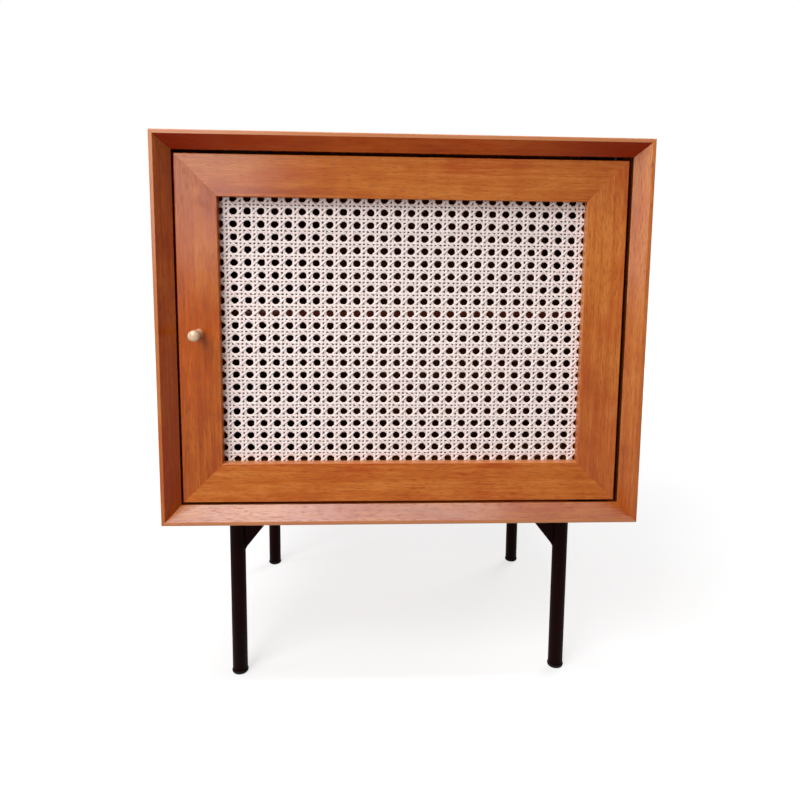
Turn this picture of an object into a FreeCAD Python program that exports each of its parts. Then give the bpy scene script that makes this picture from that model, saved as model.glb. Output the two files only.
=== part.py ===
"""Side table with a cane-fronted door, as a parametric document.

A mitred wooden box on four tube legs.  Its front edges are bevelled inwards to an inset door: a mitred
frame round a panel of open-weave cane, hung on pivot hinges at its right-hand end and held shut by a
magnetic catch.  Millimetres; the floor is z = 0, the front faces -Y, x = 0 is the middle of the width and
y = 0 the middle of the depth from the end of the knob to the back.
"""
import FreeCAD, Part
import math
import os
import re

import Sketcher

SIZES = [
    # Box
    ("carcass_width", 500, "outside width of the box"),
    ("carcass_depth", 400, "front edge to back of the box"),
    ("carcass_height", 400, "underside to top of the box"),
    ("board_thickness", 17, "boards of the box"),
    ("front_land", 4, "flat strip left round the front edge"),
    ("bevel_depth", 16, "run of the inward bevel, and so how far the door is set back"),
    ("board_arris", 1.2, "eased outer edge at the front"),
    ("spline_thickness", 4, "loose tongue in each mitre of the box"),
    ("spline_width", 12, "across the mitre"),
    ("spline_inset", 10.5, "middle of the tongue from both outer faces"),
    ("spline_front_stop", 40, "tongue stops short of the front edge"),
    ("spline_back_stop", 25, "tongue stops short of the back"),
    ("key_clearance", 0.1, "round tongues and loose tenons"),
    ("back_thickness", 5, "plywood back"),
    ("back_rebate", 9, "width of the rebate that takes the back"),
    ("back_clearance", 0.4, "round the back panel"),
    ("back_screw_length", 16, "screws through the back"),
    ("back_screw_corner", 60, "outer back screws from the corners of the back"),
    # Shelf
    ("shelf_thickness", 12, "shelf board"),
    ("shelf_underside", 191, "underside of the shelf above the floor of the box"),
    ("shelf_setback", 60, "front edge of the shelf behind the front of the box"),
    ("shelf_side_gap", 0.6, "shelf to each side panel"),
    ("shelf_back_gap", 0.8, "shelf to back panel"),
    ("shelf_nose", 3, "rounded front edge of the shelf"),
    ("shelf_pin_diameter", 5, "peg of a shelf support"),
    ("shelf_pin_seat", 9, "peg's depth in the side panel"),
    ("shelf_pin_clearance", 0.05, "round the peg"),
    ("shelf_tab_length", 12, "support tab, out from the side"),
    ("shelf_tab_width", 10, "support tab, along the side"),
    ("shelf_tab_thickness", 3, "support tab"),
    ("shelf_pin_setback", 45, "pegs from the front and back edges of the shelf"),
    # Door frame
    ("door_gap_latch", 2, "gap at the knob side"),
    ("door_gap_hinge", 4, "gap at the hinge side"),
    ("door_gap_top", 3.5, "gap above the door"),
    ("door_gap_bottom", 2.5, "gap below the door"),
    ("door_thickness", 22, "door frame"),
    ("frame_width", 42, "rails and stiles"),
    ("frame_arris", 0.8, "eased edges of the rails and stiles"),
    ("tenon_length", 14, "loose tenon along each mitre of the door"),
    ("tenon_width", 16, "across the mitre"),
    ("tenon_thickness", 4, "loose tenon"),
    ("tenon_inset", 25, "middle of the tenon from both outer edges"),
    ("tenon_setback", 3.5, "tenon behind the face of the door"),
    # Cane panel and its beads
    ("cane_recess", 10, "cane behind the face of the door"),
    ("cane_rebate", 9, "width of the rebate that takes cane and beads"),
    ("cane_thickness", 1.6, "woven sheet"),
    ("cane_clearance", 0.5, "sheet to the walls of the rebate"),
    ("net_pitch_across", 19.6, "gap to gap across the net"),
    ("net_pitch_up", 18.4, "gap to gap up the net"),
    ("net_gap", 9.6, "eight-sided gap, across its flats"),
    ("bead_thickness", 10, "bead behind the cane"),
    ("bead_round", 2, "eased inner edge of the bead"),
    ("bead_clearance", 0.3, "bead to the wall of the rebate"),
    ("bead_pin_diameter", 1.4, "panel pins"),
    ("bead_pin_length", 15, "panel pins"),
    ("bead_pin_corner", 45, "outer pins from the corners of the opening"),
    ("pin_clearance", 0.05, "round the panel pins"),
    # Knob
    ("knob_length", 26, "out from the face of the door"),
    ("knob_base_diameter", 9.5, "foot of the knob"),
    ("knob_base_height", 2.5, "foot of the knob"),
    ("knob_waist_diameter", 8, "narrowest place"),
    ("knob_waist_height", 9, "narrowest place above the door"),
    ("knob_head_diameter", 11.5, "head of the knob"),
    ("knob_head_height", 7, "straight rim and rounding of the head"),
    ("knob_round", 3.5, "rounding of the head"),
    ("knob_screw_diameter", 4, "machine screw from behind"),
    ("knob_screw_grip", 8, "screw's reach into the knob"),
    ("knob_screw_head", 8, "screw head"),
    ("knob_screw_head_height", 2.4, "screw head"),
    ("knob_screw_clearance", 0.2, "round the screw in the stile"),
    ("knob_thread_clearance", 0.05, "round the screw in the knob"),
    ("knob_thread_spare", 1.5, "thread past the end of the screw"),
    # Pivot hinges
    ("pivot_side_offset", 12, "pivot axis from the hinge-side edge of the door"),
    ("pivot_face_offset", 9, "pivot axis behind the face of the door"),
    ("pivot_pin_diameter", 5, "pivot pin"),
    ("pivot_clearance", 0.05, "running fit of the pin, on the radius"),
    ("pivot_pin_reach", 8, "pin's reach into the door"),
    ("pivot_relief", 0.5, "relief round the pin in the wood"),
    ("pivot_end_room", 0.6, "relief past the end of the pin"),
    ("leaf_length", 46, "hinge leaf"),
    ("leaf_width", 14, "hinge leaf"),
    ("leaf_thickness", 2.5, "hinge leaf"),
    ("leaf_corner", 3, "cut corners of the leaf"),
    ("leaf_end", 9, "pin to the near end of the leaf"),
    ("leaf_clearance", 0.1, "leaf in its recess"),
    ("leaf_screw_near", 14, "first screw from the pin"),
    ("leaf_screw_far", 30, "second screw from the pin"),
    ("washer_diameter", 11, "thrust washer under the door"),
    ("thrust_play", 0.1, "washer to door leaf"),
    # Countersunk screws of leaves, catch, strike and back
    ("small_screw_diameter", 2.8, "shank"),
    ("small_screw_head", 5.6, "head"),
    ("small_screw_head_depth", 1.4, "head"),
    ("small_screw_length", 12, "under the face"),
    ("screw_clearance", 0.05, "round every screw"),
    # Magnetic catch
    ("catch_side_offset", 70, "middle of the catch from the knob-side panel"),
    ("catch_length", 30, "housing between its ears"),
    ("catch_ear", 9, "ear at each end"),
    ("catch_ear_height", 4, "ear"),
    ("catch_height", 14, "housing"),
    ("catch_depth", 16, "housing"),
    ("catch_drop", 9, "middle of the magnet below the top panel"),
    ("catch_cavity", 13, "depth of the magnet's pocket"),
    ("magnet_height", 5, "magnet between its poles"),
    ("pole_length", 26, "pole plates and magnet"),
    ("pole_thickness", 1.6, "pole plates"),
    ("pole_reach", 0.8, "poles in front of the housing"),
    ("catch_gap", 0.3, "poles to strike with the door shut"),
    ("strike_length", 34, "strike plate"),
    ("strike_height", 9, "strike plate"),
    ("strike_thickness", 1.6, "strike plate"),
    # Legs
    ("leg_length", 200, "floor to underside of the box"),
    ("leg_inset_side", 66, "leg axis from the side of the box"),
    ("leg_inset_depth", 60, "leg axis from the front and the back"),
    ("leg_diameter", 17, "tube"),
    ("leg_wall", 1.5, "tube"),
    ("plate_thickness", 3, "plate at the head of the leg"),
    ("plate_outward", 26, "plate from leg axis towards the side"),
    ("plate_inward", 54, "plate from leg axis towards the middle"),
    ("plate_width", 56, "plate, front to back"),
    ("plate_corner", 8, "cut corners of the plate"),
    ("plate_screw_edge", 10, "screws from the edges of the plate"),
    ("gusset_width", 34, "gusset, out from the tube"),
    ("gusset_height", 50, "gusset, down from the plate"),
    ("gusset_thickness", 4, "gusset"),
    ("gusset_nose", 5, "blunt ends of the gusset"),
    ("foot_diameter", 18.4, "plastic foot"),
    ("foot_height", 4, "plastic foot below the tube"),
    ("foot_round", 3, "rounding of the foot, made as two flats"),
    ("foot_plug_height", 14, "plug of the foot inside the tube"),
    ("foot_clearance", 0.1, "plug to tube"),
    ("leg_screw_diameter", 4, "pan-head screws of the plates"),
    ("leg_screw_head", 8.4, "pan-head screws"),
    ("leg_screw_head_height", 2.6, "pan-head screws"),
    ("leg_screw_length", 14, "under the head"),
    # Cutters
    ("overrun", 2, "how far a cut runs past the wood"),
]
NAMES = {name for name, value, meaning in SIZES}

# Places that several pieces share, worked out from the sizes
PLACES = {
    "side_face": "carcass_width / 2",
    "side_inner": "side_face - board_thickness",
    "box_middle": "(knob_length - bevel_depth) / 2",
    "box_front": "box_middle - carcass_depth / 2",
    "box_back": "box_middle + carcass_depth / 2",
    "back_front": "box_back - back_thickness",
    "floor_top": "leg_length + board_thickness",
    "top_face": "leg_length + carcass_height",
    "top_under": "top_face - board_thickness",
    "back_screw_line": "board_thickness - back_rebate / 2",
    "shelf_low": "floor_top + shelf_underside",
    "shelf_front": "box_front + shelf_setback",
    "shelf_back": "back_front - shelf_back_gap",
    "door_front": "box_front + bevel_depth",
    "door_back": "door_front + door_thickness",
    "door_left": "door_gap_latch - side_inner",
    "door_right": "side_inner - door_gap_hinge",
    "door_low": "floor_top + door_gap_bottom",
    "door_high": "top_under - door_gap_top",
    "opening_left": "door_left + frame_width",
    "opening_right": "door_right - frame_width",
    "opening_low": "door_low + frame_width",
    "opening_high": "door_high - frame_width",
    "cane_front": "door_front + cane_recess",
    "cane_back": "cane_front + cane_thickness",
    "bead_back": "cane_back + bead_thickness",
    "bead_middle": "cane_back + bead_thickness / 2",
    "bead_width": "cane_rebate - bead_clearance",
    "knob_x": "door_left + frame_width / 2",
    "knob_z": "(door_low + door_high) / 2",
    "pivot_x": "door_right - pivot_side_offset",
    "pivot_y": "door_front + pivot_face_offset",
    "pivot_bore": "pivot_pin_diameter + 2 * pivot_clearance",
    "small_hole": "small_screw_diameter + 2 * screw_clearance",
    "catch_x": "catch_side_offset - side_inner",
    "catch_z": "top_under - catch_drop",
    "strike_back": "door_back + strike_thickness",
    "pole_front": "strike_back + catch_gap",
    "catch_front": "pole_front + pole_reach",
    "catch_back": "catch_front + catch_depth",
    "leg_x": "side_face - leg_inset_side",
    "leg_y": "carcass_depth / 2 - leg_inset_depth",
    "leg_head": "leg_length - plate_thickness",
    "leg_hole": "leg_screw_diameter + 2 * screw_clearance",
}

BOX = {"left": "-side_face", "right": "side_face", "low": "leg_length", "high": "top_face"}
DOOR = {"left": "door_left", "right": "door_right", "low": "door_low", "high": "door_high"}
BEADS = {
    "left": "opening_left - bead_width",
    "right": "opening_right + bead_width",
    "low": "opening_low - bead_width",
    "high": "opening_high + bead_width",
}
ENDS = {
    "top": (("left", "high"), ("right", "high")),
    "bottom": (("left", "low"), ("right", "low")),
    "left": (("left", "low"), ("left", "high")),
    "right": (("right", "low"), ("right", "high")),
}
OUTWARD = {"left": -1, "right": 1, "low": -1, "high": 1}
# Which way each plane's normal points along its axis
NORMAL = {"XY_Plane": 1, "XZ_Plane": -1, "YZ_Plane": 1}
WORD = re.compile(r"[a-z][a-z0-9_]*")

doc = FreeCAD.newDocument("cane_door_side_table")
sheet = doc.addObject("Spreadsheet::Sheet", "Sizes")
for row, (name, value, meaning) in enumerate(SIZES, 1):
    sheet.set("A%d" % row, name)
    sheet.set("B%d" % row, str(value))
    sheet.set("C%d" % row, meaning)
    sheet.setAlias("B%d" % row, name)
doc.recompute()

pieces = []


# Sizes and outlines


def bind(rule):
    """Write a rule in sizes and places as an expression on the sheet."""

    def on_sheet(match):
        word = match.group(0)
        if word in PLACES:
            return "(" + bind(PLACES[word]) + ")"
        return "Sizes." + word if word in NAMES else word

    return WORD.sub(on_sheet, rule)


def number(rule):
    """The present value of a rule, in millimetres."""
    return float(sheet.evalExpression(bind(rule)))


def add(rule, sign, step):
    """The rule for a place `step` further along, the way that `sign` points."""
    return "(%s) %s (%s)" % (rule, "+" if sign > 0 else "-", step)


def rectangle(low_a, high_a, low_b, high_b):
    return [(low_a, low_b), (high_a, low_b), (high_a, high_b), (low_a, high_b)]


def cut_rectangle(low_a, high_a, low_b, high_b, corner):
    """A rectangle with its four corners cut at 45 degrees."""
    return [
        (add(low_a, 1, corner), low_b),
        (add(high_a, -1, corner), low_b),
        (high_a, add(low_b, 1, corner)),
        (high_a, add(high_b, -1, corner)),
        (add(high_a, -1, corner), high_b),
        (add(low_a, 1, corner), high_b),
        (low_a, add(high_b, -1, corner)),
        (low_a, add(low_b, 1, corner)),
    ]


def circles(points, diameter):
    return [(across, up, diameter) for across, up in points]


# Features


def new_body(label):
    body = doc.addObject("PartDesign::Body", label)
    body.Label = label
    body.AllowCompound = True
    pieces.append(body)
    return body


def place(body, x, y, z):
    for axis, rule in zip("xyz", (x, y, z)):
        body.setExpression("Placement.Base." + axis, bind(rule))


def draw_circle(sketch, across, up, diameter):
    centre = FreeCAD.Vector(number(across), number(up), 0)
    radius = number(diameter) / 2
    ring = sketch.addGeometry(Part.Circle(centre, FreeCAD.Vector(0, 0, 1), radius), False)
    for kind, rule, at in (("DistanceX", across, centre.x), ("DistanceY", up, centre.y)):
        index = sketch.addConstraint(Sketcher.Constraint(kind, -1, 1, ring, 3, at))
        sketch.setExpression("Constraints[%d]" % index, bind(rule))
    index = sketch.addConstraint(Sketcher.Constraint("Diameter", ring, 2 * radius))
    sketch.setExpression("Constraints[%d]" % index, bind(diameter))


def draw_outline(sketch, points):
    """A closed outline of straight lines, each corner held by its two rules."""
    corners = [FreeCAD.Vector(number(across), number(up), 0) for across, up in points]
    count = len(corners)
    first = sketch.GeometryCount
    lines = [Part.LineSegment(corners[i], corners[(i + 1) % count]) for i in range(count)]
    sketch.addGeometry(lines, False)
    joints = [
        Sketcher.Constraint("Coincident", first + i, 2, first + (i + 1) % count, 1) for i in range(count)
    ]
    sketch.addConstraint(joints)
    for i, (across, up) in enumerate(points):
        for kind, rule, at in (("DistanceX", across, corners[i].x), ("DistanceY", up, corners[i].y)):
            index = sketch.addConstraint(Sketcher.Constraint(kind, -1, 1, first + i, 1, at))
            sketch.setExpression("Constraints[%d]" % index, bind(rule))


def sketch_on(body, plane, at, shapes):
    """A sketch on one of the body's own planes, moved along the plane's axis to the place `at`."""
    sketch = body.newObject("Sketcher::SketchObject", body.Label + "_outline")
    origin = [feature for feature in body.Origin.OriginFeatures if feature.Role == plane][0]
    sketch.AttachmentSupport = [(origin, "")]
    sketch.MapMode = "FlatFace"
    sketch.setExpression("AttachmentOffset.Base.z", bind(add("0", NORMAL[plane], at)))
    for shape in shapes:
        if isinstance(shape, tuple):
            draw_circle(sketch, *shape)
        else:
            draw_outline(sketch, shape)
    return sketch


def extrude(body, kind, plane, low, high, shapes, falling=False, taper=None):
    """Pad or pocket the shapes from low to high along the plane's axis.

    A falling one is drawn at its high end, and a taper narrows it on its way from where it is drawn.
    """
    feature_sketch = sketch_on(body, plane, high if falling else low, shapes)
    feature = body.newObject("PartDesign::" + kind, body.Label + "_" + kind.lower())
    feature.Profile = feature_sketch
    feature.setExpression("Length", bind(add(high, -1, low)))
    along_axis = (NORMAL[plane] > 0) == (kind == "Pad")
    feature.Reversed = along_axis if falling else not along_axis
    if taper:
        feature.setExpression("TaperAngle", bind(taper))
    body.Tip = feature
    return feature


def pad(body, plane, low, high, shapes, **options):
    return extrude(body, "Pad", plane, low, high, shapes, **options)


def pocket(body, plane, low, high, shapes, **options):
    return extrude(body, "Pocket", plane, low, high, shapes, **options)


def round_edges(body, radius, wanted):
    """Fillet the edges of the body's last feature that `wanted` picks."""
    doc.recompute()
    base = body.Tip
    names = ["Edge%d" % i for i, edge in enumerate(base.Shape.Edges, 1) if wanted(edge)]
    fillet = body.newObject("PartDesign::Fillet", body.Label + "_round")
    fillet.Base = (base, names)
    fillet.setExpression("Radius", bind(radius))
    body.Tip = fillet


def revolve(body, plane, points):
    """Turn an outline of (radius, height) points about the upright axis of its plane."""
    feature_sketch = sketch_on(body, plane, "0", [points])
    feature = body.newObject("PartDesign::Revolution", body.Label + "_turned")
    feature.Profile = feature_sketch
    feature.ReferenceAxis = (feature_sketch, ["V_Axis"])
    feature.Angle = 360
    body.Tip = feature


# Mitred frames: the box, the door and the beads


def mitred_member(label, edge, frame, depth, front, back, profile):
    """One side of a mitred frame.

    The profile is (inward, y) points, with inward counted from the frame's outer edge.  It runs the whole
    length of the edge, and its ends are cut on the lines from the frame's outer corners to the inner ones.
    """
    body = new_body(label)
    level = edge in ("top", "bottom")
    outer = {"top": "high", "bottom": "low"}.get(edge, edge)
    across = [add(frame[outer], -OUTWARD[outer], inward) for inward, y in profile]
    if level:
        outline = [(y, z) for z, (inward, y) in zip(across, profile)]
        pad(body, "YZ_Plane", frame["left"], frame["right"], [outline])
    else:
        outline = [(x, y) for x, (inward, y) in zip(across, profile)]
        pad(body, "XY_Plane", frame["low"], frame["high"], [outline])
    wedges = []
    for side, height in ENDS[edge]:
        inset = "%s + overrun" % depth
        past_x = add(frame[side], OUTWARD[side], "overrun")
        past_z = add(frame[height], OUTWARD[height], "overrun")
        inside_x = add(frame[side], -OUTWARD[side], inset)
        inside_z = add(frame[height], -OUTWARD[height], inset)
        third = (past_x, inside_z) if level else (inside_x, past_z)
        wedges.append([(past_x, past_z), (inside_x, inside_z), third])
    pocket(body, "XZ_Plane", add(front, -1, "overrun"), add(back, 1, "overrun"), wedges)
    return body


def key_outline(frame, end, inset, along, across):
    """A rectangle set square across one mitre, its middle `inset` from both outer edges."""
    side, height = end
    middle_x = add(frame[side], -OUTWARD[side], inset)
    middle_z = add(frame[height], -OUTWARD[height], inset)
    wide = "(%s + %s) / 2 / sqrt(2)" % (along, across)
    narrow = "(%s - (%s)) / 2 / sqrt(2)" % (along, across)
    corners = ((1, wide, narrow), (1, narrow, wide), (-1, wide, narrow), (-1, narrow, wide))
    return [
        (add(middle_x, sign * OUTWARD[side], step_x), add(middle_z, sign * OUTWARD[height], step_z))
        for sign, step_x, step_z in corners
    ]


def cut_key_slots(body, edge, frame, inset, along, across, low, high):
    roomy = [size + " + 2 * key_clearance" for size in (along, across)]
    slots = [key_outline(frame, end, inset, *roomy) for end in ENDS[edge]]
    pocket(body, "XZ_Plane", add(low, -1, "key_clearance"), add(high, 1, "key_clearance"), slots)


def make_keys(label, frame, inset, along, across, low, high):
    ends = ENDS["top"] + ENDS["bottom"]
    keys = new_body(label)
    pad(keys, "XZ_Plane", low, high, [key_outline(frame, end, inset, along, across) for end in ends])


# Screws


def countersunk_screws(body, plane, points, face, into, length):
    """Screws with flat heads flush with a face, `into` giving which way along the axis they go."""
    falling = into < 0
    tip = add(face, into, length)
    neck = add(face, into, "small_screw_head_depth")
    taper = "-atan((small_screw_head - small_screw_diameter) / 2 / small_screw_head_depth)"
    shank_ends = (tip, face) if falling else (face, tip)
    head_ends = (neck, face) if falling else (face, neck)
    pad(body, plane, *shank_ends, circles(points, "small_screw_diameter"))
    pad(body, plane, *head_ends, circles(points, "small_screw_head"), falling=falling, taper=taper)


def countersunk_holes(body, plane, points, face, into, length):
    """The holes of countersunk screws, through to a little past their tips."""
    falling = into < 0
    tip = add(add(face, into, length), into, "screw_clearance")
    neck = add(face, into, "small_screw_head_depth")
    taper = "-atan((small_screw_head - small_screw_diameter) / 2 / small_screw_head_depth)"
    shank_ends = (tip, face) if falling else (face, tip)
    head_ends = (neck, face) if falling else (face, neck)
    wide = "small_screw_head + 2 * screw_clearance"
    pocket(body, plane, *shank_ends, circles(points, "small_hole"))
    pocket(body, plane, *head_ends, circles(points, wide), falling=falling, taper=taper)


def pilot_holes(body, plane, points, face, into, length, diameter="small_hole"):
    """Plain holes for screw shanks, from a face to a little past the tips."""
    tip = add(add(face, into, length), into, "screw_clearance")
    ends = (tip, face) if into < 0 else (face, tip)
    pocket(body, plane, *ends, circles(points, diameter))


# Box

box_profile = [
    ("0", "box_front + board_arris"),
    ("board_arris", "box_front"),
    ("front_land", "box_front"),
    ("board_thickness", "door_front"),
    ("board_thickness", "back_front"),
    ("board_thickness - back_rebate", "back_front"),
    ("board_thickness - back_rebate", "box_back"),
    ("0", "box_back"),
]
SPLINE_ENDS = ("box_front + spline_front_stop", "box_back - spline_back_stop")
boards = {}
for edge, label in (
    ("top", "top_panel"),
    ("bottom", "bottom_panel"),
    ("left", "left_side_panel"),
    ("right", "right_side_panel"),
):
    board = mitred_member(label, edge, BOX, "board_thickness", "box_front", "box_back", box_profile)
    cut_key_slots(board, edge, BOX, "spline_inset", "spline_thickness", "spline_width", *SPLINE_ENDS)
    boards[edge] = board
make_keys("corner_splines", BOX, "spline_inset", "spline_thickness", "spline_width", *SPLINE_ENDS)

# Back, let into the rebate and screwed to all four boards
back_edge = "board_thickness - back_rebate + back_clearance"
back_panel = new_body("back_panel")
back_outline = rectangle(
    add("-side_face", 1, back_edge),
    add("side_face", -1, back_edge),
    add("leg_length", 1, back_edge),
    add("top_face", -1, back_edge),
)
pad(back_panel, "XZ_Plane", "back_front", "box_back", [back_outline])
screw_columns = ("back_screw_corner - side_face", "0", "side_face - back_screw_corner")
screw_rows = ("leg_length + back_screw_corner", "top_face - back_screw_corner")
back_points = {
    "top": [(x, "top_face - back_screw_line") for x in screw_columns],
    "bottom": [(x, "leg_length + back_screw_line") for x in screw_columns],
    "left": [("back_screw_line - side_face", z) for z in screw_rows],
    "right": [("side_face - back_screw_line", z) for z in screw_rows],
}
all_back_points = [point for edge in back_points for point in back_points[edge]]
countersunk_holes(back_panel, "XZ_Plane", all_back_points, "box_back", -1, "back_screw_length")
for edge, board in boards.items():
    pilot_holes(board, "XZ_Plane", back_points[edge], "box_back", -1, "back_screw_length")
back_screws = new_body("back_panel_screws")
countersunk_screws(back_screws, "XZ_Plane", all_back_points, "box_back", -1, "back_screw_length")

# Shelf on four pegged tabs
shelf = new_body("shelf")
shelf_outline = rectangle(
    "shelf_side_gap - side_inner", "side_inner - shelf_side_gap", "shelf_front", "shelf_back"
)
pad(shelf, "XY_Plane", "shelf_low", "shelf_low + shelf_thickness", [shelf_outline])
round_edges(
    shelf,
    "shelf_nose",
    lambda edge: edge.BoundBox.XLength > number("side_inner")
    and edge.CenterOfMass.y < number("shelf_front") + number("overrun"),
)
peg_y = ("shelf_front + shelf_pin_setback", "shelf_back - shelf_pin_setback")
peg_z = "shelf_low - shelf_pin_diameter / 2"
shelf_pins = new_body("shelf_pins")
for side in (-1, 1):
    wall = add("0", side, "side_inner")
    tab_end = add(wall, -side, "shelf_tab_length")
    peg_end = add(wall, side, "shelf_pin_seat")
    hole_end = add(peg_end, side, "shelf_pin_clearance")
    tab_ends = (tab_end, wall) if side > 0 else (wall, tab_end)
    peg_ends = (wall, peg_end) if side > 0 else (peg_end, wall)
    hole_ends = (wall, hole_end) if side > 0 else (hole_end, wall)
    tabs = [
        rectangle(*tab_ends, "%s - shelf_tab_width / 2" % y, "%s + shelf_tab_width / 2" % y) for y in peg_y
    ]
    pad(shelf_pins, "XY_Plane", "shelf_low - shelf_tab_thickness", "shelf_low", tabs)
    points = [(y, peg_z) for y in peg_y]
    pad(shelf_pins, "YZ_Plane", *peg_ends, circles(points, "shelf_pin_diameter"))
    board = boards["right" if side > 0 else "left"]
    roomy = "shelf_pin_diameter + 2 * shelf_pin_clearance"
    pocket(board, "YZ_Plane", *hole_ends, circles(points, roomy))

# Legs: plate, tube, gusset and foot at each corner
screw_half = "plate_width / 2 - plate_screw_edge"
for depth_word, depth_sign in (("front", -1), ("rear", 1)):
    for side_word, side_sign in (("left", -1), ("right", 1)):
        corner = depth_word + "_" + side_word + "_"
        axis = (add("0", side_sign, "leg_x"), add("box_middle", depth_sign, "leg_y"))

        plate = new_body(corner + "leg_plate")
        place(plate, *axis, "leg_head")
        outward = add("0", side_sign, "plate_outward")
        inward = add("0", -side_sign, "plate_inward")
        plate_ends = (inward, outward) if side_sign > 0 else (outward, inward)
        plate_outline = cut_rectangle(*plate_ends, "-plate_width / 2", "plate_width / 2", "plate_corner")
        pad(plate, "XY_Plane", "0", "plate_thickness", [plate_outline])
        plate_points = [
            (add(x, sign * side_sign, "plate_screw_edge"), add("0", way, screw_half))
            for x, sign in ((outward, -1), (inward, 1))
            for way in (-1, 1)
        ]
        pocket(plate, "XY_Plane", "0", "plate_thickness", circles(plate_points, "leg_hole"))

        tube = new_body(corner + "leg_tube")
        place(tube, *axis, "foot_height")
        tube_outline = [("0", "0", "leg_diameter"), ("0", "0", "leg_diameter - 2 * leg_wall")]
        pad(tube, "XY_Plane", "0", "leg_head - foot_height", tube_outline)

        gusset = new_body(corner + "leg_gusset")
        place(gusset, *axis, "leg_head")
        far = add("0", -side_sign, "leg_diameter / 2 + gusset_width")
        knee = add("0", -side_sign, "leg_diameter / 2 + gusset_nose / 2")
        tip = add("0", -side_sign, "leg_diameter / 2")
        gusset_outline = [
            ("0", "0"),
            (far, "0"),
            (far, "-gusset_nose"),
            (knee, "gusset_nose - gusset_height"),
            (tip, "-gusset_height"),
            ("0", "-gusset_height"),
        ]
        pad(gusset, "XZ_Plane", "-gusset_thickness / 2", "gusset_thickness / 2", [gusset_outline])
        pocket(gusset, "XY_Plane", "-gusset_height - overrun", "overrun", [("0", "0", "leg_diameter")])

        foot = new_body(corner + "foot_cap")
        place(foot, *axis, "0")
        foot_profile = [
            ("0", "0"),
            ("foot_diameter / 2 - foot_round", "0"),
            ("foot_diameter / 2 - 0.293 * foot_round", "0.293 * foot_round"),
            ("foot_diameter / 2", "foot_round"),
            ("foot_diameter / 2", "foot_height"),
            ("leg_diameter / 2 - leg_wall - foot_clearance", "foot_height"),
            ("leg_diameter / 2 - leg_wall - foot_clearance", "foot_height + foot_plug_height"),
            ("0", "foot_height + foot_plug_height"),
        ]
        revolve(foot, "XZ_Plane", foot_profile)

leg_points = [
    (
        add(add("0", side, "leg_x"), side * sign, reach),
        add(add("box_middle", depth, "leg_y"), way, screw_half),
    )
    for side in (-1, 1)
    for depth in (-1, 1)
    for sign, reach in ((1, "plate_outward - plate_screw_edge"), (-1, "plate_inward - plate_screw_edge"))
    for way in (-1, 1)
]
leg_screws = new_body("leg_screws")
leg_shanks = circles(leg_points, "leg_screw_diameter")
leg_heads = circles(leg_points, "leg_screw_head")
pad(leg_screws, "XY_Plane", "leg_head", "leg_head + leg_screw_length", leg_shanks)
pad(leg_screws, "XY_Plane", "leg_head - leg_screw_head_height", "leg_head", leg_heads)
pilot_holes(boards["bottom"], "XY_Plane", leg_points, "leg_head", 1, "leg_screw_length", "leg_hole")

# Door frame
door_profile = [
    ("frame_arris", "door_front"),
    ("frame_width - frame_arris", "door_front"),
    ("frame_width", "door_front + frame_arris"),
    ("frame_width", "cane_front"),
    ("frame_width - cane_rebate", "cane_front"),
    ("frame_width - cane_rebate", "door_back"),
    ("0", "door_back"),
    ("0", "door_front + frame_arris"),
]
TENON_ENDS = ("door_front + tenon_setback", "door_front + tenon_setback + tenon_thickness")
members = {}
for edge, label in (
    ("top", "door_top_rail"),
    ("bottom", "door_bottom_rail"),
    ("left", "door_knob_stile"),
    ("right", "door_hinge_stile"),
):
    member = mitred_member(label, edge, DOOR, "frame_width", "door_front", "door_back", door_profile)
    cut_key_slots(member, edge, DOOR, "tenon_inset", "tenon_length", "tenon_width", *TENON_ENDS)
    members[edge] = member
make_keys("door_corner_tenons", DOOR, "tenon_inset", "tenon_length", "tenon_width", *TENON_ENDS)


# Cane panel: one sheet with eight-sided gaps, from edge to edge of the rebate


def cane_sheet():
    left, right = number("opening_left"), number("opening_right")
    low, high = number("opening_low"), number("opening_high")
    margin = number("cane_rebate - cane_clearance")
    y = number("cane_front")
    pitch_across, pitch_up = number("net_pitch_across"), number("net_pitch_up")
    columns = int((right - left) / pitch_across)
    rows = int((high - low) / pitch_up)
    middle_x, middle_z = (left + right) / 2, (low + high) / 2
    half_turn = math.pi / 8
    reach = number("net_gap") / 2 / math.cos(half_turn)

    def loop(points):
        return Part.makePolygon([FreeCAD.Vector(x, y, z) for x, z in points + points[:1]])

    corners = [(left - margin, low - margin), (right + margin, low - margin)]
    corners += [(right + margin, high + margin), (left - margin, high + margin)]
    wires = [loop(corners)]
    turns = [half_turn + k * math.pi / 4 for k in range(8)]
    for column in range(columns):
        x = middle_x + (column - (columns - 1) / 2) * pitch_across
        for row in range(rows):
            z = middle_z + (row - (rows - 1) / 2) * pitch_up
            wires.append(loop([(x + reach * math.cos(a), z + reach * math.sin(a)) for a in turns]))
    face = Part.makeFace(wires, "Part::FaceMakerBullseye")
    return face.extrude(FreeCAD.Vector(0, number("cane_thickness"), 0))


cane_panel = doc.addObject("Part::Feature", "cane_panel")
cane_panel.Label = "cane_panel"
cane_panel.Shape = cane_sheet()
pieces.append(cane_panel)

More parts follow.
